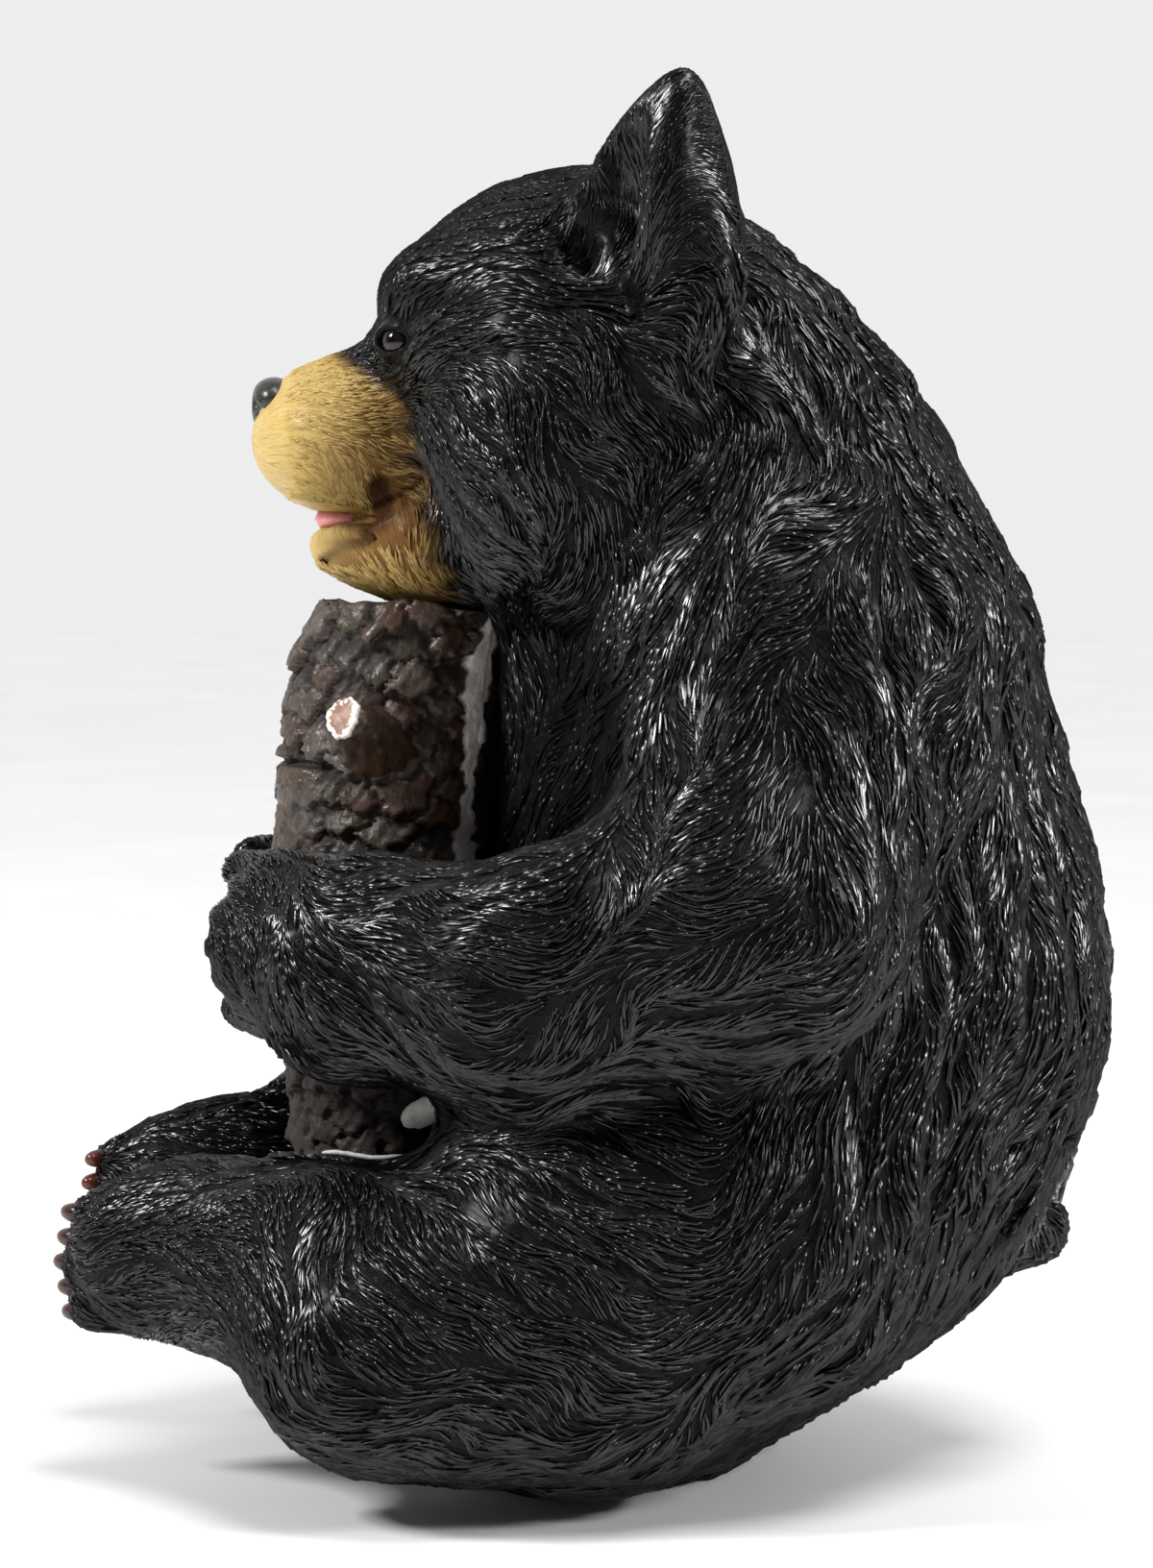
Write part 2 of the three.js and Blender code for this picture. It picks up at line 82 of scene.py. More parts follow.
# ---------------------------------------------------------------- distances

def vec(*c):
    """The numbers as one row."""
    return np.array(c, F)


def unit(v):
    """Each vector divided by its length."""
    v = np.asarray(v, F)
    return v / (np.sqrt((v * v).sum(-1, keepdims=True)) + F(1e-9))


def dot(a, b):
    """Products of the coordinates, added, for each pair of rows."""
    return (a * b).sum(-1)


def ramp(x, low, high):
    """0 below low, 1 above high, and 3t^2 - 2t^3 between them."""
    t = np.clip((x - low) / (high - low), 0, 1)
    return t * t * (3 - 2 * t)


def ellipsoid(p, centre, radii, axes=None):
    """First-order distance k(k - 1)/|grad k|, where k is the point's length in units of the radii."""
    q = p - vec(*centre)
    if axes is not None:
        q = q @ np.asarray(axes, F).T
    r = vec(*radii)
    a = q / r
    k = np.sqrt(dot(a, a)) + F(1e-9)
    slope = np.sqrt(dot(a / r, a / r)) + F(1e-9)
    return k * (k - 1) / slope


def bar(p, a, b, ra, rb):
    """Distance from a round bar whose radius runs evenly from ra at a to rb at b."""
    a, b = vec(*a), vec(*b)
    ab = b - a
    t = np.clip(((p - a) @ ab) / (ab @ ab), 0, 1)
    q = p - a - t[..., None] * ab
    return np.sqrt(dot(q, q)) - (ra + (rb - ra) * t)


def join(a, b, k):
    """The lesser distance, rounded by a parabola where the two differ by less than k."""
    h = np.maximum(k - np.abs(a - b), 0) / k
    return np.minimum(a, b) - h * h * k * 0.25


def carve(a, b, k):
    """Distance a with distance b cut away, the edge rounded k wide."""
    return -join(-a, b, k)


def curve(x, xs, ys):
    """Cubic through the knots, each knot's slope that of a parabola through its neighbours."""
    xs, ys = np.asarray(xs, float), np.asarray(ys, float)
    m = np.gradient(ys, xs)
    i = np.clip(np.searchsorted(xs, x) - 1, 0, len(xs) - 2)
    h = xs[i + 1] - xs[i]
    t = np.clip((x - xs[i]) / h, 0, 1)
    start = (2 * t**3 - 3 * t * t + 1) * ys[i] + (t**3 - 2 * t * t + t) * h * m[i]
    end = (3 * t * t - 2 * t**3) * ys[i + 1] + (t**3 - t * t) * h * m[i + 1]
    return (start + end).astype(F)


def folded(p):
    """The point's mirror image on the bear's left side."""
    m = p.copy()
    m[..., 0] = np.abs(p[..., 0])
    return m


# ---------------------------------------------------------------- the bear's form

# Torso sections: height, back, front, half width.
SPINE = np.array([
    (-14, 34, -44, 44), (8, 58, -50, 70), (34, 98, -52, 86), (59, 125, -46, 96),
    (95, 143, -36, 101), (146, 152.5, -26, 101), (190, 144, -22, 96), (221, 134.5, -16, 89),
    (249, 129, -11, 82), (275, 116, -10, 72), (300, 101, 0, 61), (325, 76, 20, 38), (345, 50, 28, 20),
], float)


def torso(p):
    """An oval at every height, its back, front and half width carried on curves up the spine."""
    z = p[..., 2]
    back, front, half = (curve(z, SPINE[:, 0], SPINE[:, k]) for k in (1, 2, 3))
    depth = (back - front) / 2
    qx, qy = p[..., 0] / half, (p[..., 1] - (back + front) / 2) / depth
    k = np.sqrt(qx * qx + qy * qy) + F(1e-9)
    d = k * (k - 1) / (np.sqrt((qx / half)**2 + (qy / depth)**2) + F(1e-9))
    return -join(-d, -np.maximum(SPINE[0, 0] - z, z - SPINE[-1, 0]), 12)


def ear_axes():
    """Out of the ear's hollow, across it and up it."""
    out = unit((0.50, -0.86, 0.02))
    wide = unit(np.cross(unit((0.26, 0.14, 1.0)), out))
    return np.stack([out, wide, np.cross(out, wide)])


EAR = ear_axes()
EAR_CENTRE = np.array((56, 21, 351.0))


def ear_lobe(p, centre, radii):
    """A flattened lobe that narrows and thins towards its top."""
    q = (p - vec(*centre)) @ EAR.T
    rise = np.clip(q[..., 2] / radii[2], 0, 1)
    q[..., 0] /= 1 - 0.35 * rise**3
    q[..., 1] /= 1 - 0.56 * rise**1.2
    return ellipsoid(q, (0, 0, 0), radii) * 0.8


def ear(m):
    """A lobe with a smaller lobe cut out of its front."""
    shell = ear_lobe(m, EAR_CENTRE, (19, 35.5, 49.5))
    hollow = ear_lobe(m, EAR_CENTRE + (0, 0, 5) + EAR[0] * 19, (19, 27, 37.5))
    return carve(shell, hollow, 5)


HAND_HEIGHT = 153.5
FINGERS = range(-2, 3)


def finger(u):
    """Root and tip of a hand's finger, u from -2 at the highest to 2 at the lowest."""
    root = (44, -84, HAND_HEIGHT - u * 8.2)
    return root, (29 - abs(u) * 1.5, -98 + abs(u) * 0.9, HAND_HEIGHT - u * 9.6)


def arm(m):
    """Shoulder, elbow, forearm, wrist and the hand's five fingers. Between two fingers a cleft sinks
    in, a bell curve over the height."""
    d = bar(m, (66, 60, 226), (104, 46, 166), 44, 38)
    d = join(d, bar(m, (104, 46, 166), (94, -14, 147), 38, 33), 14)
    d = join(d, bar(m, (94, -14, 147), (64, -60, 149), 33, 29), 10)
    d = join(d, bar(m, (64, -60, 149), (42, -80, 154), 29, 26), 10)
    for u in FINGERS:
        d = join(d, bar(m, *finger(u), 9.5, 6.6), 3)
    height = m[..., 2] - HAND_HEIGHT
    clefts = sum(np.exp(-((height - 9.3 * u) / 2.1)**2) for u in (-1.5, -0.5, 0.5, 1.5))
    return d + 3.4 * clefts * ramp(-m[..., 1], 86, 96) * ramp(-m[..., 0], -54, -42)


def toe(u):
    """Root and tip of a foot's toe, u from -2 at the lowest to 2 at the highest."""
    return (42, -125, 63.6 + u * 6.4), (39.5, -141 + abs(u) * 1.1, 62.6 + u * 6.9)


def leg(m):
    """Thigh, shin and the foot with its five toes, the sole turned inward."""
    d = ellipsoid(m, (72, 44, 80), (54, 53, 53))
    d = join(d, ellipsoid(m, (78, 0, 60), (56, 59, 56)), 14)
    d = join(d, ellipsoid(m, (92, -44, 49), (46, 49, 38)), 14)
    d = join(d, bar(m, (82, -64, 62), (50, -98, 66), 34, 28), 10)
    foot = ellipsoid(m, (43, -112, 66), (22, 32, 26))
    for u in FINGERS:
        foot = join(foot, bar(m, *toe(u), 9.5, 6.3), 2.5)
    return join(d, foot, 8)


def head(p, m):
    """Skull, cheeks, ruff, brow, muzzle over the lower jaw, and the ears."""
    d = ellipsoid(p, (0, 3, 321), (70, 61.5, 54.5))
    d = join(d, ellipsoid(m, (44, -2, 292), (34, 36, 38)), 18)
    d = join(d, ellipsoid(p, (0, 4, 268), (56, 44, 34)), 16)
    d = join(d, ellipsoid(m, (22, -41, 339), (21, 15, 13)), 9)
    muzzle = ellipsoid(p, (0, -64, 297), (30, 31, 22.5))
    muzzle = join(muzzle, bar(p, (0, -76, 305.5), (0, -50, 311.5), 11, 17.5), 8)
    jaw = ellipsoid(p, (0, -59, 265.5), (20, 19, 10))
    jaw = join(jaw, ellipsoid(p, (0, -40, 268), (36, 28, 20)), 8)
    d = join(d, join(muzzle, jaw, 3.5), 9)
    return carve(join(d, ear(m), 7), ellipsoid(m, (60, 3, 351), (6, 10, 12), EAR), 4)


RIGHT_FOOT_LIFT = 5
# The log's heights, and how far back its axis lies and its radius at each.
LOG_Z = [84, 115, 176, 204, 230, 250]
LOG_AXIS = [-52, -53, -54.5, -54, -52, -47]
LOG_RADIUS = [32, 34, 34.5, 34, 32.6, 30.6]


def log_gap(p):
    """Distance out from the log's wall, its ends rounded."""
    z = p[..., 2]
    out = np.sqrt(p[..., 0]**2 + (p[..., 1] - curve(z, LOG_Z, LOG_AXIS))**2) - curve(z, LOG_Z, LOG_RADIUS)
    return -join(-out, -np.maximum(LOG_Z[0] - z, z - LOG_Z[-1]), 3)


def bear_form(p):
    """Distance from the bear's skin before any hair is laid on it, the seat cut flat and the log's
    pocket cut out."""
    m = folded(p)
    d = torso(p)
    d = join(d, ellipsoid(p, (0, 48, 268), (74, 51, 76)), 22)
    d = join(d, ellipsoid(m, (56, 64, 232), (46, 50, 50)), 24)
    d = join(d, arm(m), 16)
    lift = RIGHT_FOOT_LIFT * ramp(-p[..., 0], 0, 30) * ramp(-p[..., 1], 50, 100)
    d = join(d, leg(m - lift[..., None] * vec(0, 0, 1)), 15)
    d = join(d, ellipsoid(p, (-76, -78, 84), (22, 20, 22)), 10)  # the right knee is drawn up higher
    d = join(d, ellipsoid(p, (0, 128, 66), (13, 14, 8)), 6)  # the tail
    d = join(d, head(p, m), 16)
    d = join(d, ellipsoid(p, (0, 0, 222), (32, 26, 40)), 12)
    d = join(d, bar(m, (72, -22, 110), (72, 14, 112), 12, 14), 12)
    d = carve(d, log_gap(p) - 0.9 + 1.1 * ramp(p[..., 2], 246, 249), 1)
    return -join(-d, p[..., 2], 0.5)


# ---------------------------------------------------------------- grids and nets

class Sampled:
    """A distance held on a regular grid, read between the grid's points by trilinear mixing."""

    def __init__(self, low, step, values):
        self.low, self.step, self.values = np.array(low, F), F(step), values
        self.slopes = None

    def points(self, index):
        """Places of the grid points with these numbers."""
        return self.low + index.astype(F) * self.step

    def mixed(self, grid, p):
        """The grid's values mixed from the eight grid points round each place."""
        q = (p - self.low) / self.step
        i = np.clip(np.floor(q).astype(np.int64), 0, np.array(self.values.shape) - 2)
        t = np.clip(q - i, 0, 1).astype(F)
        out = 0
        for corner in np.ndindex(2, 2, 2):
            w = np.prod([t[:, a] if corner[a] else 1 - t[:, a] for a in range(3)], axis=0)
            v = grid[i[:, 0] + corner[0], i[:, 1] + corner[1], i[:, 2] + corner[2]]
            out = out + (v * w if v.ndim == 1 else v * w[:, None])
        return out

    def value(self, p):
        """Distance from the surface."""
        return self.mixed(self.values, p)

    def normal(self, p):
        """The way out of the surface: the distance's slope, by central differences."""
        if self.slopes is None:
            self.slopes = np.stack(np.gradient(self.values, float(self.step)), -1).astype(F)
        return unit(self.mixed(self.slopes, p))

    def settle(self, p, passes=2):
        """Points moved along the slope until they lie on the surface."""
        for _ in range(passes):
            p = p - self.value(p)[:, None] * self.normal(p)
        return p


def sampled(form, low, high, step, reach=9.0):
    """The form on a grid: every fourth point first, then each point nearer the surface than reach."""
    shape = [int(math.ceil((h - l) / step / 4)) * 4 + 1 for l, h in zip(low, high)]
    coarse = np.stack(np.meshgrid(*[np.arange(0, n, 4) for n in shape], indexing="ij"), -1)
    values = form(np.array(low, F) + coarse.astype(F) * F(step))
    for axis in range(3):
        values = np.moveaxis(values, axis, 0)
        steps = [values[:-1] + (values[1:] - values[:-1]) * F(k / 4) for k in range(4)]
        fine = np.stack(steps, 1).reshape(-1, *values.shape[1:])
        values = np.moveaxis(np.concatenate([fine, values[-1:]]), 0, axis)
    field = Sampled(low, step, np.ascontiguousarray(values))
    near = np.argwhere(np.abs(values) < reach)
    for part in np.array_split(near, max(1, len(near) // 60000)):
        field.values[tuple(part.T)] = form(field.points(part))
    return field


def net(field):
    """One corner in each cell the surface crosses, at the mean of its edge crossings, and one
    four-sided face for each grid edge the surface crosses. Faces point outwards."""
    values, inside = field.values, field.values < 0
    cut = (slice(0, -1), slice(1, None))
    cell_corners = list(np.ndindex(2, 2, 2))
    marks = np.stack([inside[cut[a], cut[b], cut[c]] for a, b, c in cell_corners], -1)
    cells = np.argwhere(marks.any(-1) & ~marks.all(-1))
    at = np.stack([values[tuple((cells + c).T)] for c in cell_corners], -1)
    place = np.array(cell_corners, F)
    total, count = np.zeros((len(cells), 3), F), np.zeros(len(cells), F)
    for i, j in [(i, j) for i in range(8) for j in range(i + 1, 8)]:
        if np.abs(place[i] - place[j]).sum() == 1:
            crossed = (at[:, i] < 0) != (at[:, j] < 0)
            t = (at[:, i] / (at[:, i] - at[:, j] + F(1e-20)))[crossed, None]
            total[crossed] += place[i] + (place[j] - place[i]) * t
            count[crossed] += 1
    corners = field.points(cells) + (total / count[:, None]) * field.step
    number = -np.ones([n - 1 for n in values.shape], np.int64)
    number[tuple(cells.T)] = np.arange(len(cells))
    faces = []
    for axis in range(3):
        first, second = [slice(None)] * 3, [slice(None)] * 3
        first[axis], second[axis] = cut
        edges = np.argwhere(inside[tuple(first)] != inside[tuple(second)])
        u, w = (axis + 1) % 3, (axis + 2) % 3
        edges = edges[(edges[:, u] > 0) & (edges[:, w] > 0)]
        edges = edges[(edges[:, u] < values.shape[u] - 1) & (edges[:, w] < values.shape[w] - 1)]
        ring = []
        for du, dw in ((-1, -1), (0, -1), (0, 0), (-1, 0)):
            k = edges.copy()
            k[:, u] += du
            k[:, w] += dw
            ring.append(number[tuple(k.T)])
        ring = np.stack(ring, -1)
        flip = ~inside[tuple(edges.T)]
        ring[flip] = ring[flip][:, ::-1]
        faces.append(ring)
    return corners, np.concatenate(faces)


# ---------------------------------------------------------------- how the hair lies

# Places on the bear's left half and the way the hair lies there: x, y, z, then the direction.
GUIDES = np.array([
    # muzzle, chin and brow
    (0, -82, 316, 0, 1, .35), (12, -74, 312, .3, 1, -.05), (24, -80, 300, .35, 1, -.45),
    (27, -72, 288, .3, .8, -.8), (22, -86, 292, .5, .8, -.4), (20, -76, 279, .4, 1, -.4),
    (28, -58, 302, .5, 1, -.25), (30, -58, 292, .4, .9, -.45), (16, -62, 262, .3, .6, -.7),
    (36, -46, 286, .1, .4, -1), (34, -42, 272, .1, .2, -1), (24, -52, 262, .2, .5, -.8),
    (0, -70, 260, 0, .5, -1), (28, -44, 266, .3, .8, -.55), (0, -50, 254, 0, .8, -.5),
    (0, -57, 330, 0, .6, .8), (14, -54, 336, .25, .5, .9), (34, -46, 316, .6, 1, -.1),
    (34, -47, 338, .6, .8, .5), (0, -46, 352, 0, .6, 1), (20, -42, 352, .3, .7, .8),
    # skull and cheek
    (0, -22, 370, 0, 1, .4), (24, -18, 366, .2, 1, .25), (0, 10, 376, 0, 1, 0),
    (22, 12, 372, 0, 1, -.05), (0, 42, 362, 0, 1, -.6), (46, -32, 340, .4, 1, .1),
    (52, -28, 322, .3, 1, -.1), (48, -38, 306, .4, 1, -.15), (58, -12, 338, .2, 1, -.15),
    (64, -8, 318, .1, 1, -.4), (60, -22, 302, .3, .8, -.55), (68, 8, 300, 0, .5, -1),
    (64, -10, 284, 0, .15, -1), (52, -24, 272, .1, .4, -.9), (62, 20, 326, 0, .8, -.7),
    (66, 28, 308, 0, .3, -1), (60, 44, 318, 0, .6, -.8), (56, 46, 338, 0, .9, -.6),
    (66, 6, 276, -.1, -.3, -1), (72, 22, 286, 0, -.35, -1),
    # ear
    (66, 34, 360, .1, .1, 1), (70, 24, 345, .1, 0, 1), (56, 44, 352, -.1, .2, 1),
    (48, 8, 362, 0, 0, 1), (60, 8, 350, .1, 0, 1), (42, 14, 370, -.1, 0, 1),
    # neck and chest
    (74, 34, 272, 0, -.6, -.75), (70, 60, 290, 0, -.15, -1), (80, 56, 262, 0, -.5, -.85),
    (66, 10, 256, -.2, -.6, -.75), (50, -12, 250, -.4, -.5, -.75), (0, 92, 318, 0, .7, -.75),
    (0, 116, 282, 0, .5, -.9), (50, 92, 296, .2, .3, -.95), (0, 128, 252, 0, .2, -1),
    (84, 76, 250, .1, -.25, -1), (92, 50, 246, .1, -.55, -.85), (84, 24, 236, 0, -.7, -.7),
    (60, 0, 226, -.3, -.65, -.7), (30, -14, 230, -.3, -.3, -.9), (0, -14, 240, 0, -.2, -1),
    # shoulder and elbow
    (98, 80, 226, 0, .05, -1), (102, 62, 214, 0, .15, -1), (104, 38, 208, 0, -.4, -.9),
    (96, 18, 200, 0, -.55, -.85), (104, 84, 196, 0, .2, -1), (108, 62, 184, 0, .1, -1),
    (110, 40, 172, 0, -.55, -.85), (104, 14, 172, 0, -.9, -.4), (104, 78, 166, 0, -.25, -1),
    (108, 52, 150, 0, -.8, -.6), (110, 30, 140, 0, -1, -.25), (100, 10, 124, 0, -1, -.05),
    # forearm and hand
    (104, 0, 154, 0, -1, .12), (98, -18, 166, 0, -.95, .3), (96, -20, 140, 0, -1, .12),
    (86, -36, 170, -.1, -.85, .5), (88, -40, 152, -.1, -.9, .4), (86, -36, 128, -.1, -1, .15),
    (74, -60, 166, -.2, -.65, .75), (74, -62, 150, -.2, -.8, .6), (70, -62, 132, -.2, -.95, .3),
    (56, -82, 170, -.3, -.4, .85), (54, -86, 154, -.3, -.6, .75), (50, -86, 138, -.3, -.85, .5),
    (34, -98, 160, -.6, -.7, .2), (34, -98, 145, -.6, -.7, 0),
    # back
    (0, 142, 222, 0, .15, -1), (0, 150, 180, 0, .1, -1), (0, 152, 140, 0, -.02, -1),
    (0, 146, 100, 0, -.2, -1), (50, 134, 222, .05, .1, -1), (60, 140, 180, .05, .1, -1),
    (60, 142, 140, 0, 0, -1), (92, 104, 200, .05, .25, -1), (92, 108, 170, .1, -.1, -1),
    (96, 100, 144, 0, -.55, -.85), (92, 76, 130, 0, -.85, -.55), (86, 112, 116, 0, -.8, -.45),
    (60, 132, 104, .3, -.3, -.95), (96, 52, 112, 0, -.7, -.75), (100, 24, 98, 0, -1, .02),
    # tail and rump
    (0, 136, 74, 0, .9, -.5), (30, 132, 78, -.3, .4, -.85), (92, 84, 92, 0, -.65, -.75),
    (80, 106, 80, 0, -.5, -.85), (94, 70, 70, 0, -.6, -.8), (96, 50, 78, 0, -.7, -.7),
    (80, 90, 58, 0, -.7, -.7), (60, 110, 54, 0, -.75, -.6), (0, 110, 44, 0, -.9, -.5),
    (96, 44, 50, 0, -.8, -.6), (90, 40, 32, 0, -.85, -.5), (70, 70, 30, 0, -.8, -.55),
    # thigh and knee
    (104, 14, 84, 0, -1, .06), (108, 26, 64, 0, -1, -.05), (110, 0, 44, 0, -1, -.02),
    (100, 12, 28, 0, -.9, -.35), (96, 28, 12, 0, -.95, -.2), (106, -10, 76, 0, -.9, .35),
    (100, -30, 84, 0, -.8, .5), (80, -42, 96, 0, -.9, .4), (112, -20, 54, 0, -.9, .4),
    (108, -46, 66, 0, -.55, .8), (106, -40, 42, 0, -.93, .32), (110, -4, 30, 0, -1, .02),
    (100, -66, 74, -.1, -.15, 1), (104, -66, 50, -.1, -.6, .75), (90, -72, 28, 0, -.9, .3),
    (90, -52, 16, 0, -.97, .2), (90, -20, 8, 0, -1, .08),
    # foot, lap and seat
    (66, -96, 84, -.3, -1, .1), (70, -98, 66, -.3, -1, 0), (62, -100, 46, -.3, -1, -.1),
    (50, -124, 80, -.4, -1, .1), (54, -122, 64, -.3, -1, 0), (48, -124, 50, -.4, -1, 0),
    (24, -104, 66, .1, -1, 0), (30, -24, 110, -.1, 0, -1), (0, -30, 90, 0, 0, -1),
    (60, 0, 4, 0, -1, 0),
], F)


class Lie:
    """Which way the hair lies: the guides mixed by nearness and by how alike their skin faces."""

    def __init__(self, skin):
        both = np.concatenate([GUIDES, GUIDES * vec(-1, 1, 1, -1, 1, 1)])
        self.at = skin.settle(both[:, :3], 3)
        self.facing = skin.normal(self.at)
        self.way = unit(both[:, 3:] - dot(both[:, 3:], self.facing)[:, None] * self.facing)
        rng = np.random.default_rng(11)
        lengths = np.concatenate([rng.uniform(36, 80, 13), rng.uniform(22, 30, 5)])
        self.waves = unit(rng.normal(size=(18, 3))) / lengths[:, None].astype(F) * F(6.283)
        self.phases = rng.uniform(0, 6.283, 18).astype(F)

    def waver(self, p):
        """A smooth field between about -1 and 1: plane waves 22 to 80 mm long, added."""
        return np.sin(p @ self.waves.T + self.phases).sum(1) / F(3.7)

    def __call__(self, p, normal, sway):
        """Each guide weighs (likeness squared) over (distance squared + 60) squared."""
        mixed = np.empty_like(p)
        for part in np.array_split(np.arange(len(p)), max(1, len(p) // 20000)):
            gap = ((p[part, None] - self.at[None])**2).sum(-1)
            alike = np.maximum(normal[part] @ self.facing.T, 0) + F(0.08)
            mixed[part] = (alike**2 / (gap + F(60))**2) @ self.way
        way = unit(mixed - dot(mixed, normal)[:, None] * normal)
        turn = sway * self.waver(p)
        return way * np.cos(turn)[:, None] + np.cross(normal, way) * np.sin(turn)[:, None]


def spread(corners, faces, per_face, rng):
    """Random places on four-sided faces, as many on each as per_face says on average."""
    chosen = np.repeat(np.arange(len(faces)), np.floor(per_face + rng.random(len(faces))).astype(int))
    a, b, c, d = (corners[faces[chosen, k]] for k in range(4))
    u, v = rng.random((2, len(chosen), 1)).astype(F)
    return (a * (1 - u) + b * u) * (1 - v) + (d * (1 - u) + c * u) * v


def face_areas(corners, faces):
    """Half the cross product of each four-sided face's diagonals."""
    a, b, c, d = (corners[faces[:, k]] for k in range(4))
    return np.linalg.norm(np.cross(c - a, d - b), axis=1) / 2


def nose_distance(p):
    """Distance from the nose's tip."""
    return np.linalg.norm(p - vec(0, -94, 306), axis=1)


def hair_length(p):
    """3 mm at the nose, longer with distance from it, to 15 mm; shorter on hands, feet and ears."""
    length = np.clip(2.6 + 0.105 * nose_distance(p), 3, 15.5)
    limb = ramp(-p[:, 1], 76, 96) * (p[:, 2] < 190)
    tip = ramp(p[:, 2], 345, 356)
    low_back = ramp(p[:, 1], 20, 70) * ramp(-p[:, 2], -150, -120)
    lips = 1 - 0.5 * (1 - ramp(chain(p, LIP_LINE, 0.5), 2, 9))
    return length * lips * (1 - 0.42 * limb) * (1 - 0.25 * tip) * (1 + 0.22 * low_back)


def hair_width(length):
    """Longer hairs are wider: 0.54 mm and 0.044 of the length."""
    return 0.54 + 0.044 * length


def on_head(p):
    """True on the face and the skull."""
    return (nose_distance(p) < 128) & (p[:, 2] > 248)


def tuft_size(p):
    """Tufts shrink with the hair: 1 where it is 14.5 mm long."""
    return np.clip(hair_length(p) / 14.5, 0.35, 1.15)


class Tufts:
    """Tufts of hair: long low mounds that lie along the hair and overlap like tiles."""

    def __init__(self, skin, corners, faces, lie, rng):
        area = face_areas(corners, faces)
        size = tuft_size(corners[faces[:, 0]])
        self.at = spread(corners, faces, area / (2.6 * TUFT_LENGTH * TUFT_WIDTH * size**2), rng)
        self.out = skin.normal(self.at)
        self.way = lie(self.at, self.out, 0.5)
        self.side = np.cross(self.out, self.way)
        self.size = tuft_size(self.at).astype(F)
        self.level = rng.uniform(-0.25, 0.5, len(self.at)).astype(F)

    def nearest(self, p):
        """Index of the tuft nearest each point, and how far along and across it the point lies, in
        half sizes."""
        index = np.zeros(len(p), np.int64)
        along, across = np.zeros(len(p), F), np.zeros(len(p), F)
        band_height, reach = 24, 40
        bands = np.floor(p[:, 2] / band_height).astype(int)
        for band in np.unique(bands):
            near = np.flatnonzero(np.abs(self.at[:, 2] - (band + 0.5) * band_height) < reach)
            rows = np.flatnonzero(bands == band)
            base = [dot(self.at[near], axis[near]) for axis in (self.way, self.side, self.out)]
            for part in np.array_split(rows, max(1, len(rows) // 3000)):
                s = (p[part] @ self.way[near].T - base[0]) / (TUFT_LENGTH * self.size[near])
                w = (p[part] @ self.side[near].T - base[1]) / (TUFT_WIDTH * self.size[near])
                n = (p[part] @ self.out[near].T - base[2]) / 12
                best = (s * s + w * w + n * n).argmin(1)
                row = np.arange(len(part))
                index[part], along[part], across[part] = near[best], s[row, best], w[row, best]
        return index, along, across

    def relief(self, p):
        """Height of a tuft: round across it, rising towards its tip, where it drops to the next."""
        index, along, across = self.nearest(p)
        mound = np.clip(1 - 0.75 * across**2, 0, 1) * (0.35 + 0.65 * ramp(along, -1.1, 0.7))
        bold = 1 + 0.8 * ramp(p[:, 1], 40, 100) + 0.35 * ramp(p[:, 2], 225, 250) * ramp(p[:, 1], 10, 40)
        return (mound + self.level[index]) * 1.7 * bold * self.size[index]**1.4

    def comb(self, middle, corner_points):
        """For each face's corners: mm across the face's nearest tuft, mm along it, tuft number."""
        index, _, _ = self.nearest(middle)
        away = corner_points - self.at[index][:, None]
        across = (away * self.side[index][:, None]).sum(-1)
        along = (away * self.way[index][:, None]).sum(-1)
        return np.stack([across, along, across * 0 + index[:, None] * F(3.7)], -1)


# ---------------------------------------------------------------- paint masks

def tan_mask(p):
    """1 on the muzzle, lips and chin, falling to 0 over a soft edge; a slant line bounds it behind."""
    m = np.abs(p[:, 0])
    y, z = p[:, 1], p[:, 2]
    edge = curve(z, [250, 257, 269, 282, 290, 300, 310, 316, 322],
                 [-35, -34, -36, -42, -44, -46, -50, -57, -68])
    ragged = 1.8 * np.sin(z * 0.55 + m * 0.3) + 1.2 * np.sin(z * 1.3 - m * 0.7 + 2)
    behind = y - edge - ragged + ramp(m, 30, 44) * 6
    return (1 - ramp(behind, -15, 8)) * ramp(-y, 20, 30) * (z > 249)


def wash_mask(p):
    """How much brown lies in the grooves: none on the muzzle's front, most behind and below."""
    y, z = p[:, 1], p[:, 2]
    behind = ramp(y, -86, -54)
    below = ramp(-z, -272, -262) * 0.85 * ramp(y, -80, -66)
    under_nose = 0.25 * ramp(z, 300, 312)
    return np.maximum(np.maximum(behind, below), under_nose)


MOUTH_LOBE = ((27.0, -57.0, 280.4), (8.5, 4.4, 6.6))
MOUTH_FOLD = [(30.5, -52.2, 283.0), (30.5, -52.2, 278.6), (28.5, -55.5, 274.4)]
LIP_LINE = [(27.0, -54.5, 273.4), (26.0, -61.0, 272.8), (22.0, -69.0, 275.2), (12.0, -78.0, 277.6),
            (0.0, -80.5, 278.0)]
CHIN_CREASE = [(25.5, -52.0, 272.6), (25.8, -59.5, 269.0), (21.4, -66.5, 266.0), (12.0, -72.5, 262.6),
               (0.0, -74.5, 261.6)]


def chain(p, path, radius):
    """Distance from a round bar laid through the path's points."""
    m = folded(p)
    d = [bar(m, a, b, radius, radius) for a, b in zip(path[:-1], path[1:])]
    return np.minimum.reduce(d)


